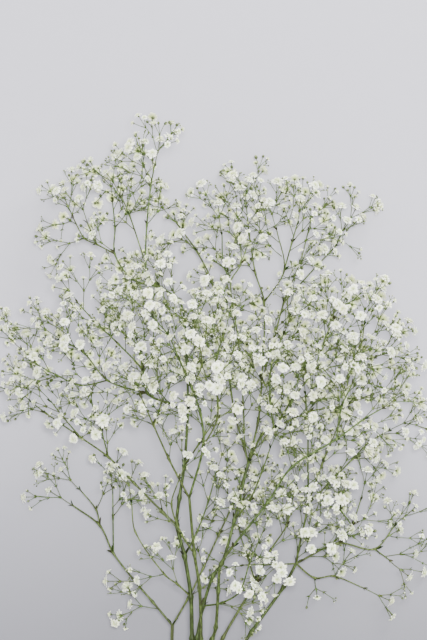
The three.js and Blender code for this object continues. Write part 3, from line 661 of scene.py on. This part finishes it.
def add_limb(skin, limb, sides):
    """A limb swells at its joints and tapers between them."""
    rng = np.random.default_rng(limb.joints[1])
    route, places = spline(limb.points, LIMB_STEPS)
    joints = np.array(limb.points[1:-1] or limb.points[:1])
    apart = np.linalg.norm(route[:, None] - joints[None], axis=2).min(axis=1)
    radii = np.interp(places, range(len(limb.radii)), limb.radii)
    swelling = 1 + SWELLING * np.exp(-((apart / SWELLING_LENGTH) ** 2))
    swelling[0] = 1
    caps = (LIMB_CAP, radii[-1])
    tint = rng.uniform(*LIMB_TINT)
    add_tube(skin, route, radii * swelling * LIMB_SKIN, sides, caps, 1 - radii / THICKEST, tint)


TWIG_ORDERS = (1, 5)
TWIG_STEPS = np.array((0, 0.1, 0.5, 0.92, 1))
TWIG_SWELLING = np.array((1.3, 1.0, 0.9, 1.0, 1.45))
TWIG_SIDES = 5
TWIG_BOW = (0.01, 0.04)  # in shares of its length
TWIG_CAP = 0.1
TWIG_DOME = 0.8  # height of its end, in shares of its radius
STALK_STEPS = np.array((0, 0.5, 1))
STALK_SWELLING = np.array((1.1, 0.8, 0.9))
STALK_SIDES = 4
TWIG_REACH = (0.5, 0.12)  # at the foot of a cyme, and what each fork adds
BRACT_ORDERS = (1, 4)
BRACT_LENGTH = (3.6, 1.5)  # below the first fork of a cyme, and below the fourth
BRACT_SIZE = (0.8, 1.2)
BRACT_TURN = (-15, 15)


def add_twig(skin, shoot):
    """A twig bows a little outward and swells where it forks."""
    rng = np.random.default_rng(shoot.joint)
    steps, swelling = (STALK_STEPS, STALK_SWELLING) if shoot.kind else (TWIG_STEPS, TWIG_SWELLING)
    sides = STALK_SIDES if shoot.kind else TWIG_SIDES
    span = shoot.end - shoot.start
    bow = tilted(shoot.axis, shoot.side, rng.uniform(0, 360), 90) * size_of(span) * rng.uniform(*TWIG_BOW)
    route = shoot.start + np.outer(steps, span) + np.outer(4 * steps * (1 - steps), bow)
    radii = np.interp(shoot.order, TWIG_ORDERS, TWIG_SKIN) * swelling
    caps = (TWIG_CAP, radii[-1] * TWIG_DOME)
    reach = min(1, TWIG_REACH[0] + TWIG_REACH[1] * shoot.order)
    add_tube(skin, route, radii, sides, caps, reach, rng.uniform(0, 1))
    if not shoot.kind:
        for turn in (0, 180):
            out = tilted(shoot.axis, shoot.side, turn + 90 + rng.uniform(*BRACT_TURN), 90)
            length = np.interp(shoot.order, BRACT_ORDERS, BRACT_LENGTH) * rng.uniform(*BRACT_SIZE)
            add_bract(skin, shoot.end, shoot.axis, out, length, rng.uniform(0, 1))


# A bract's two lower corners, heel, bulging back and point: how far across, along and out each of them is
# in shares of its length, and then in millimetres on top of that
BRACT = np.array((
    ((0.3, 0, 0), (0, -0.2, 0.3)), ((-0.3, 0, 0), (0, -0.2, 0.3)), ((0, 0, 0), (0, -0.35, 0.6)),
    ((0, 0.4, 0.4), (0, -0.2, 0.3)), ((0, 0.8, 0.75), (0, -0.2, 0.3)),
))
BRACT_FACES = ((0, 2, 1), (0, 4, 3), (0, 3, 2), (1, 3, 4), (1, 2, 3), (0, 1, 4))
BRACT_REACH = 0.9


def add_bract(skin, start, axis, out, length, tint):
    """A small pointed scale below a fork."""
    places = BRACT[:, 0] * length + BRACT[:, 1]
    skin.add(start + places @ (cross(axis, out), axis, out), BRACT_FACES, BRACT_REACH, tint)


# A leaf, in shares of its length: places along it and its width there, half its full width, how it rises
# and spreads with the place and with its square, and its point, along and out
LEAF_STATIONS = ((0, 0.30), (0.25, 0.75), (0.5, 1), (0.78, 0.62))
LEAF_HALF_WIDTH = 0.17
LEAF_RISE = (0.9, -0.15)
LEAF_SPREAD = (0.2, 0.35)
LEAF_POINT = (0.75, 0.55)
LEAF_GROOVE = 0.1  # millimetres from its middle to its inner side
LEAF_KEEL = 0.32  # and to its keel, which is half as high at the point
LEAF_ROOT = 0.6  # in shares of the limb's radius
LEAF_TURN = (-30, 30)
LEAF_SIZE = (0.65, 1)
BARE_POINTS = 2  # on the trunk and each axis, from the lower end


def add_leaf(skin, start, axis, out, length, tint):
    """A narrow keeled leaf at a division of a limb, which arches away from it."""
    across = cross(axis, out)
    half = LEAF_HALF_WIDTH * length
    points = []
    for place, width in LEAF_STATIONS:
        rise = LEAF_RISE[0] * place + LEAF_RISE[1] * place**2
        spread = LEAF_SPREAD[0] * place + LEAF_SPREAD[1] * place**2
        middle = start + (axis * rise + out * spread) * length
        points += [
            middle + across * half * width, middle + axis * LEAF_GROOVE, middle - across * half * width,
            middle - axis * LEAF_KEEL * (1 - 0.5 * place),
        ]
    points.append(start + axis * length * LEAF_POINT[0] + out * length * LEAF_POINT[1])
    faces = [(0, 1, 2, 3)]
    last = len(points) - 5
    for i in range(last):
        j = i - 3 if i % 4 == 3 else i + 1
        faces.append((j, i, i + 4, j + 4))
    faces += [(last + (i + 1) % 4, last + i, last + 4) for i in range(4)]
    skin.add(np.array(points), faces, 0, tint)


def add_leaves(skin, limb):
    """A pair of leaves on each point where another limb leaves, and smaller ones below the cymes."""
    divisions = [
        (child.parent_point, child.points[1] - child.points[0], LEAF_LENGTH) for child in limb.children
    ]
    divisions += [(i, root.axis, UPPER_LEAF_LENGTH) for i, root in limb.cymes]
    for i, direction, longest in divisions:
        if limb.node == "main_stem" and i < BARE_POINTS:
            continue
        rng = np.random.default_rng(limb.joints[i])
        axis = unit(limb.points[i] - limb.points[i - 1])
        away = square_to(axis, direction)
        for turn in (0, 180):
            out = tilted(axis, away, turn + rng.uniform(*LEAF_TURN), 90)
            start = limb.points[i] + out * limb.radii[i] * LEAF_ROOT
            add_leaf(skin, start, axis, out, longest * rng.uniform(*LEAF_SIZE), rng.uniform(0, 1))


# Buds: rows of radius, height and reach, in shares of the bud's radius
BUD = ((0.30, 0.85, 1.0, 0.75, 0.18), (0, 0.4, 1.1, 1.85, 2.3), (0, 0.2, 0.5, 0.8, 1))
BUD_SIDES = 7
BUD_SIZE = (0.8, 1.05)
YOUNG_BUD = ((0.5, 1.05, 0.35), (0, 0.9, 2.1), (0, 0.45, 1))
YOUNG_BUD_SIDES = 5
YOUNG_BUD_RADIUS = (0.45, 0.95)
LOWEST_YOUNG_BUD = 1.5
# The stalks of young buds: azimuth and tilt of each, how much these vary, and their length
YOUNG_STALKS = ((90, 8), (20, 38), (160, 38))
YOUNG_TURN = (-25, 25)
YOUNG_TILT = (-8, 8)
YOUNG_LENGTH = (1.6, 4.2)
FINE_SIDES = 3


def add_bud_head(twigs, buds, shoot):
    """A bud of the plant's rule: one bud about to open, or young ones on fine stalks of their own."""
    rng = np.random.default_rng(shoot.joint)
    if rng.random() < SINGLE_SHARE:
        radius = BUD_RADIUS * shoot.size * rng.uniform(*BUD_SIZE)
        add_turned(buds, shoot.end, shoot.axis, shoot.side, BUD, radius, BUD_SIDES, rng.uniform(0, 1))
        return
    for azimuth, tilt in YOUNG_STALKS:
        azimuth, tilt = azimuth + rng.uniform(*YOUNG_TURN), tilt + rng.uniform(*YOUNG_TILT)
        axis = tilted(shoot.axis, shoot.side, azimuth, tilt)
        end = shoot.end + axis * rng.uniform(*YOUNG_LENGTH)
        if end[2] < LOWEST_YOUNG_BUD:
            continue
        caps = (TWIG_CAP, TWIG_CAP)
        add_tube(twigs, (shoot.end, end), STALK_RADII, FINE_SIDES, caps, 1, rng.uniform(0, 1))
        radius, side = rng.uniform(*YOUNG_BUD_RADIUS), square_to(axis, shoot.side)
        add_turned(buds, end, axis, side, YOUNG_BUD, radius, YOUNG_BUD_SIDES, rng.uniform(0, 1))


# Flowers
class Petal:
    """A petal's points, across, along and through it: round its notched edge from the claw, then down its
    middle on the front. Its back has the same edge, and its middle points lie behind those of the front."""

    def __init__(self, edge, middle, front):
        inner = [(0, along) for along in middle]
        self.across, self.along = np.array(edge + inner + inner).T
        self.through = np.repeat((0, 1, -1), (len(edge), len(middle), len(middle)))
        back = [
            [corner + len(middle) if corner >= len(edge) else corner for corner in face[::-1]]
            for face in front
        ]
        self.faces = np.array((*front, *back))


WIDE_PETAL = Petal(
    [(0, 0), (-0.6, 0.45), (-1, 0.8), (-0.55, 1), (0, 0.88), (0.55, 1), (1, 0.8), (0.6, 0.45)],
    (0.35, 0.75),
    (
        (8, 0, 1), (8, 1, 9), (9, 1, 2), (9, 2, 3), (9, 3, 4),
        (9, 4, 5), (9, 5, 6), (9, 6, 7), (8, 9, 7), (8, 7, 0),
    ),
)
SMALL_PETAL = Petal(
    [(0, 0), (-0.95, 0.7), (-0.6, 1), (0, 0.87), (0.6, 1), (0.95, 0.7)],
    (0.6,),
    ((6, 0, 1), (6, 1, 2), (6, 2, 3), (6, 3, 4), (6, 4, 5), (6, 5, 0)),
)
# Whorls: kind and number of petals, how far out and up their tips are, the bend on the way there, and half
# their width, all in shares of the flower's radius
WHORLS = (
    (WIDE_PETAL, 10, (1.26, 0.30), (0.60, 0.68), 0.27),
    (SMALL_PETAL, 8, (1.08, 0.74), (0.44, 0.94), 0.28),
    (SMALL_PETAL, 6, (0.70, 1.00), (0.24, 0.96), 0.27),
    (SMALL_PETAL, 3, (0.28, 1.12), (0.05, 0.84), 0.24),
)
YOUNG_WHORLS = (
    (SMALL_PETAL, 8, (1.14, 0.50), (0.42, 0.84), 0.27),
    (SMALL_PETAL, 5, (0.82, 0.94), (0.28, 0.92), 0.30),
    (SMALL_PETAL, 3, (0.30, 1.10), (0.10, 0.90), 0.28),
)
CLAW = (0.08, 0.3)  # where every petal begins, out and up
# How petals vary
PETAL_TURN = (-0.2, 0.2)  # in shares of the step between two
PETAL_TIP = (-0.1, 0.06)
PETAL_REACH = (0.68, 1.1)
PETAL_WAVE = (-0.07, 0.07)
PETAL_CUP = (-0.04, 0.12)
PETAL_WIDTH = (0.85, 1.15)
PETAL_LEAN = 0.6  # how far the thickness of an upright petal leans inward
# Petals nearer the flower's heart stay greener and darker: partly their own tint, partly painted shade
# where the heart lies in shade
HEART_TINT_AND_SHADE = (0.55, 0.5)  # whiteness of a petal that points up, and what it gains by how far out it goes


def add_petals(skin, whorl, start, axis, side, radius, rng, tint):
    """A whorl of spoon-shaped petals with waved, notched edges."""
    petal, count, tip, bend, half_width = whorl
    shape = (count, len(petal.along))
    turns = 2 * math.pi * (rng.random() + (np.arange(count) + rng.uniform(*PETAL_TURN, count)) / count)
    out = spokes(axis, side, turns)
    across = np.cross(axis, out)
    u, v = petal.across, petal.along
    v = v * (1 + rng.uniform(*PETAL_TIP, shape) * v**2)
    place_out, place_up = (
        a * (1 - v) ** 2 + 2 * b * v * (1 - v) + c * v**2 * rng.uniform(*PETAL_REACH, (count, 1))
        for a, b, c in zip(CLAW, bend, tip)
    )
    place_up += rng.uniform(*PETAL_WAVE, shape) * v**2 + rng.uniform(*PETAL_CUP, (count, 1)) * u**2
    place_across = u * half_width * rng.uniform(*PETAL_WIDTH, (count, 1))
    lift = 0.5 * PETAL_THICKNESS * petal.through[:, None] * (axis - PETAL_LEAN * tip[1] * out)[:, None]
    points = start + lift + radius * (
        place_out[..., None] * out[:, None] + place_up[..., None] * axis
        + place_across[..., None] * across[:, None]
    )
    firsts = shape[1] * np.arange(count)
    faces = (firsts[:, None, None] + petal.faces).reshape(-1, 3).tolist()
    # less reach on the petals of the flower's heart, so more of the claw's green: partly their own tint,
    # partly painted shade
    heart_tint_and_shade = min(1, HEART_TINT_AND_SHADE[0] + HEART_TINT_AND_SHADE[1] * tip[0])
    skin.add(points.reshape(-1, 3), faces, np.tile(petal.along, count) * heart_tint_and_shade, tint)


# Rows of radius, height and reach, in shares of the flower's radius
CALYX = ((0.08, 0.22, 0.29), (0, 0.14, 0.5), (0, 0.3, 0.75))
CALYX_TEETH = (1, 0.15) * 5
YOUNG_CALYX = ((0.10, 0.26, 0.30), (0, 0.12, 0.5), (0, 0.3, 0.6))
YOUNG_CALYX_SIDES = 5
YOUNG_FLOWER_SIZE = (0.85, 1.15)
YOUNG_FLOWER_CENTRE = 0.6


def add_flower(calyxes, petals, shoot):
    """A double flower: a bell-shaped calyx with five teeth, and whorls of petals that fill it."""
    rng = np.random.default_rng(shoot.joint)
    radius = BLOOM_RADIUS * shoot.size
    place = shoot.end, shoot.axis, shoot.side
    tint = rng.uniform(0, 1)
    if shoot.kind == "bloom":
        add_turned(calyxes, *place, CALYX, radius, len(CALYX_TEETH), tint, CALYX_TEETH)
    else:
        add_turned(calyxes, *place, YOUNG_CALYX, radius, YOUNG_CALYX_SIDES, tint)
    for whorl in WHORLS if shoot.kind == "bloom" else YOUNG_WHORLS:
        add_petals(petals, whorl, *place, radius, rng, tint)


def has_room_to_open(shoot):
    """Where a bud has the space, it may be a small flower by now."""
    rng = np.random.default_rng(shoot.joint + 1)
    radius = YOUNG_FLOWER_RADIUS * rng.uniform(*YOUNG_FLOWER_SIZE)
    centre = shoot.end + shoot.axis * radius * YOUNG_FLOWER_CENTRE
    flower = rod_of(centre, centre, radius, shoot.joint)
    if rng.random() > OPENING_SHARE or centre[2] < radius or not grown.is_free(flower):
        return False
    grown.remember(flower)
    shoot.size = radius / BLOOM_RADIUS
    return True


# Finishes
def linear(hex_colour):
    """An sRGB hex colour as Blender's linear red, green, blue and alpha."""
    channels = [int(hex_colour[i:i + 2], 16) / 255 for i in (1, 3, 5)]
    return (*(c / 12.92 if c <= 0.04045 else ((c + 0.055) / 1.055) ** 2.4 for c in channels), 1)


MIX_FACTOR, MIX_A, MIX_B = 0, 6, 7  # inputs of a node that mixes colours
COLOURS = {"output": 2, "data_type": "RGBA"}  # and its output

# What each pattern measures across, in mm. Streaks, veins and pores are drawn coarser than life, to show.
SKIN_STREAK = 1.1111
SKIN_RIDGE = 0.2  # height of the streaks, in mm
STREAK_STRETCH = 0.12  # their width in shares of their length
CALYX_PATCH = 0.7143
PETAL_VEIN = 0.625
PITH_PORE = 0.3846
PAINT_MOTTLE = 16.6667  # about as coarse as a roller leaves it
WEAR = 0.22  # how far the oldest skin has turned brown


def new_material(name):
    made = bpy.data.materials.new(name)
    made.use_nodes = True
    made.node_tree.nodes.clear()
    return made, made.node_tree


def node(tree, kind, links=None, output=0, stops=(), **settings):
    """Adds a node with its settings, and gives its output. Links are inputs and what they get: an output of
    another node, a value or a hex colour. Stops are the places and hex colours of a ramp."""
    added = tree.nodes.new("ShaderNode" + kind)
    for key, value in settings.items():
        setattr(added, key, value)
    for socket, source in (links or {}).items():
        if isinstance(source, bpy.types.NodeSocket):
            tree.links.new(source, added.inputs[socket])
        else:
            added.inputs[socket].default_value = linear(source) if isinstance(source, str) else source
    for i, (place, colour) in enumerate(stops):
        elements = added.color_ramp.elements
        stop = elements[i] if i < 2 else elements.new(place)
        stop.position, stop.color = place, linear(colour)
    return added.outputs[output] if added.outputs else added


def plant_material(name):
    """A new material, and what the colours of a plant go by: the place, the reach and the tint."""
    made, tree = new_material(name)
    place = node(tree, "TexCoord", output="Object")
    reach, tint = (node(tree, "Attribute", output="Fac", attribute_name=key) for key in ("reach", "tint"))
    return made, tree, place, reach, tint


def stem_material():
    """Living stem: smooth green skin with a thin wax bloom, which gives it a soft broad shine and greyer,
    paler streaks along its length. It is darkest on the trunk and palest on the finest stalks."""
    made, tree, place, reach, tint = plant_material("waxy_green_stem")
    streaks = node(tree, "Mapping", {"Vector": place, "Scale": (1, STREAK_STRETCH, 1)})
    grain = node(tree, "TexNoise", {"Vector": streaks, "Scale": 1 / (SKIN_STREAK * MM), "Detail": 3.0})
    thick, thin = (
        node(tree, "ValToRGB", {"Fac": grain}, stops=tuple(zip((0.3, 0.5, 0.7), greens)))
        for greens in (("#091502", "#152908", "#32491c"), ("#263812", "#4c632e", "#7c9059"))
    )
    fresh = node(tree, "Mix", {MIX_FACTOR: reach, MIX_A: thick, MIX_B: thin}, **COLOURS)
    worn = node(tree, "Mix", {MIX_FACTOR: WEAR, MIX_A: fresh, MIX_B: "#6f5b40"}, **COLOURS)
    colour = node(tree, "Mix", {MIX_FACTOR: tint, MIX_A: fresh, MIX_B: worn}, **COLOURS)
    bump = node(tree, "Bump", {"Height": grain, "Strength": 0.25, "Distance": SKIN_RIDGE * MM})
    shader = node(tree, "BsdfPrincipled", {
        "Base Color": colour, "Roughness": 0.52, "Specular IOR Level": 0.35, "Normal": bump,
    })
    node(tree, "OutputMaterial", {"Surface": shader})
    return made


def bud_material():
    """Buds and calyxes: matt green skin, darker where the leaves of the calyx overlap, paler and then cream
    at the tip, where the folded petals show through."""
    made, tree, place, reach, tint = plant_material("matt_green_bud")
    grain = node(tree, "TexNoise", {"Vector": place, "Scale": 1 / (CALYX_PATCH * MM), "Detail": 2.0})
    green = node(
        tree, "ValToRGB", {"Fac": grain}, stops=((0.3, "#3a432b"), (0.55, "#565f40"), (0.75, "#7c8562")),
    )
    tip = node(tree, "ValToRGB", {"Fac": tint}, stops=((0, "#56633c"), (0.4, "#8c9768"), (1, "#e0e4c8")))
    upper = node(tree, "MapRange", {"Value": reach, "From Min": 0.45, "From Max": 0.85})
    colour = node(tree, "Mix", {MIX_FACTOR: upper, MIX_A: green, MIX_B: tip}, **COLOURS)
    shader = node(tree, "BsdfPrincipled", {
        "Base Color": colour, "Roughness": 0.62, "Specular IOR Level": 0.3,
    })
    node(tree, "OutputMaterial", {"Surface": shader})
    return made


def petal_material():
    """Petals: matt and soft to the eye, with a velvety sheen at their edges. White, with a breath of green
    and yellow towards the claw, and faint veins. The green is deeper on the petals of the flower's heart,
    which is painted shade there."""
    made, tree, place, reach, tint = plant_material("thin_white_petal")
    grain = node(tree, "TexNoise", {"Vector": place, "Scale": 1 / (PETAL_VEIN * MM), "Detail": 3.0})
    # the greener, darker stops near the claw are partly the petal's own tint and partly painted shade in
    # the flower's heart
    fresh = node(
        tree, "ValToRGB", {"Fac": reach},
        stops=((0, "#98ac50"), (0.4, "#d3dda4"), (0.75, "#eaeddc"), (1, "#f1f1ed")),
    )
    age = node(tree, "MapRange", {"Value": tint, "From Min": 0.5, "To Max": 0.5})
    aged = {MIX_FACTOR: age, MIX_A: fresh, MIX_B: "#f0ecd8"}
    blade = node(tree, "Mix", aged, blend_type="MULTIPLY", **COLOURS)
    veins = node(tree, "MapRange", {"Value": grain, "From Min": 0.6, "From Max": 0.35, "To Max": 0.18})
    colour = node(tree, "Mix", {MIX_FACTOR: veins, MIX_A: blade, MIX_B: "#e9ecdf"}, **COLOURS)
    shader = node(tree, "BsdfPrincipled", {
        "Base Color": colour, "Roughness": 0.75, "Specular IOR Level": 0.2,
        "Sheen Weight": 0.6, "Sheen Roughness": 0.5,
    })
    node(tree, "OutputMaterial", {"Surface": shader})
    return made


def pith_material():
    """Freshly cut pith: moist and pale green, with a soft shine and fine pores."""
    made, tree = new_material("moist_cut_pith")
    place = node(tree, "TexCoord", output="Object")
    pores = node(tree, "TexNoise", {"Vector": place, "Scale": 1 / (PITH_PORE * MM), "Detail": 2.0})
    colour = node(tree, "ValToRGB", {"Fac": pores}, stops=((0.35, "#8f9c62"), (0.6, "#c3c99a")))
    shader = node(tree, "BsdfPrincipled", {"Base Color": colour, "Roughness": 0.4})
    node(tree, "OutputMaterial", {"Surface": shader})
    return made


def floor_material():
    """Painted board: flat matt paint with the faintest mottle. Painted shade makes it a little darker
    towards its near end, as the light falls off.
    """
    made, tree = new_material("matt_board_painted_shade")
    place = node(tree, "TexCoord", output="Object")
    along = node(tree, "SeparateXYZ", {"Vector": place}, "Y")
    # painted shade: the board darkens towards its near end, as if the light fell off there
    span = node(tree, "MapRange", {"Value": along, **FLOOR_SHADE}, interpolation_type="SMOOTHSTEP")
    shade = node(tree, "ValToRGB", {"Fac": span}, stops=FLOOR_SHADED_AND_LIT_TONES)
    grain = node(tree, "TexNoise", {"Vector": place, "Scale": 1 / (PAINT_MOTTLE * MM), "Detail": 4.0})
    mottle = node(tree, "MapRange", {"Value": grain, "From Min": 0.3, "From Max": 0.7, "To Max": 0.03})
    colour = node(tree, "Mix", {MIX_FACTOR: mottle, MIX_A: shade, MIX_B: "#8c8c90"}, **COLOURS)
    shader = node(tree, "BsdfPrincipled", {
        "Base Color": colour, "Roughness": 0.9, "Specular IOR Level": 0.1,
    })
    node(tree, "OutputMaterial", {"Surface": shader})
    return made


# The pieces
TRUNK_SIDES = 20
AXIS_SIDES = 14
LIMB_SIDES = 8
CUT = ((0.84, 0.80), (0, 0.12), (0, 1))  # rows of radius, height and reach, in shares of the trunk's radius


def shoots_of(shoot):
    """The shoot and all that grow from it."""
    yield shoot
    for child in shoot.children:
        yield from shoots_of(child)


def settle(piece, node_name, slot):
    """Lets a piece of the dressed plant take the place of its node."""
    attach(piece, "root")
    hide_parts(node_name)


def bare_cut_end(trunk, pith):
    """The pith that the cut has bared, as a thin disc on the end of the trunk."""
    skin = Skin()
    end = trunk.points[0]
    axis = unit(end - trunk.points[1])
    add_turned(skin, end, axis, square_to(axis, UP), CUT, trunk.radii[0], TRUNK_SIDES, 0)
    settle(skin.piece("trunk_cut", pith), trunk.node, "stem_green")


def dress(node_name, stem, bud, petal):
    """The pieces that stand for one node: its limbs and twigs, its buds and calyxes, and its petals."""
    twigs, buds, petals = Skin(), Skin(), Skin()
    for limb in limbs.values():
        if limb.node != node_name:
            continue
        thick_sides = TRUNK_SIDES if limb.name == "trunk" else AXIS_SIDES
        add_limb(twigs, limb, thick_sides if node_name == "main_stem" else LIMB_SIDES)
        add_leaves(twigs, limb)
        for root in (*(root for _, root in limb.cymes), *limb.fillers):
            for shoot in shoots_of(root):
                add_twig(twigs, shoot)
                if shoot.kind == "bloom" or shoot.kind == "bud" and has_room_to_open(shoot):
                    add_flower(buds, petals, shoot)
                elif shoot.kind:
                    add_bud_head(twigs, buds, shoot)
    skins = (
        ("twigs", twigs, stem, "stem_green"), ("buds", buds, bud, "stem_green"),
        ("petals", petals, petal, "spray_white"),
    )
    for part, skin, finish, slot in skins:
        if skin.count:
            settle(skin.piece(f"{node_name.removeprefix('spray_')}_{part}", finish), node_name, slot)


stem, bud, petal = stem_material(), bud_material(), petal_material()
for node_name in dict.fromkeys(limb.node for limb in limbs.values()):
    dress(node_name, stem, bud, petal)
bare_cut_end(limbs["trunk"], pith_material())

# Floor, light and camera
FLOOR_SIZE = 6.0
# Painted shade on the board: from its near end, in painted shade, it grows lighter along Y to its lit far
# end
FLOOR_SHADE = {"From Min": -0.22, "From Max": 0.16}  # along Y, where the board grows lighter
FLOOR_SHADED_AND_LIT_TONES = ((0, "#77777b"), (1, "#b0afb6"))
VIEW_CENTRE = (0.0072, 0.136)
VIEW_LENGTH = 0.512  # seen along Y, at the height of the middle sprays
VIEW_LEVEL = 0.06
CAMERA_HEIGHT = 3.0
SENSOR = 36.0  # mm, along Y
ROOM_COLOUR = "#fbfbff"
ROOM_STRENGTH = 1.05
# A lamp above, close to the line of sight, and a window to the far right: place, size and power
LIGHTS = (
    ("lamp", (0.08, 0.26, 3.3), (0.4, 0.35), 136.0),
    ("window", (1.0, 1.35, 0.85), (1.0, 0.8), 28.0),
)
LIT_PLACE = Vector((0, 0.1, 0.05))

scene = bpy.context.scene
bpy.ops.mesh.primitive_plane_add(size=FLOOR_SIZE, location=(0, 0, 0))
floor = bpy.context.object
floor.name = "floor"
floor.data.materials.append(floor_material())

world = bpy.data.worlds.new("soft_room")
scene.world = world
world.use_nodes = True
room = world.node_tree.nodes["Background"].inputs
room["Color"].default_value = linear(ROOM_COLOUR)
room["Strength"].default_value = ROOM_STRENGTH

for name, place, extent, power in LIGHTS:
    light = bpy.data.lights.new(name, "AREA")
    light.shape = "RECTANGLE"
    light.size, light.size_y = extent
    light.energy = power
    fitting = bpy.data.objects.new(name, light)
    fitting.location = place
    fitting.rotation_euler = (LIT_PLACE - fitting.location).to_track_quat("-Z", "Y").to_euler()
    scene.collection.objects.link(fitting)

camera = bpy.data.objects.new("camera", bpy.data.cameras.new("camera"))
camera.data.sensor_width = SENSOR
camera.data.lens = SENSOR * (CAMERA_HEIGHT - VIEW_LEVEL) / VIEW_LENGTH
camera.location = (*VIEW_CENTRE, CAMERA_HEIGHT)
scene.collection.objects.link(camera)
scene.camera = camera
scene.view_settings.view_transform = "AgX"
scene.view_settings.look = "AgX - Medium High Contrast"
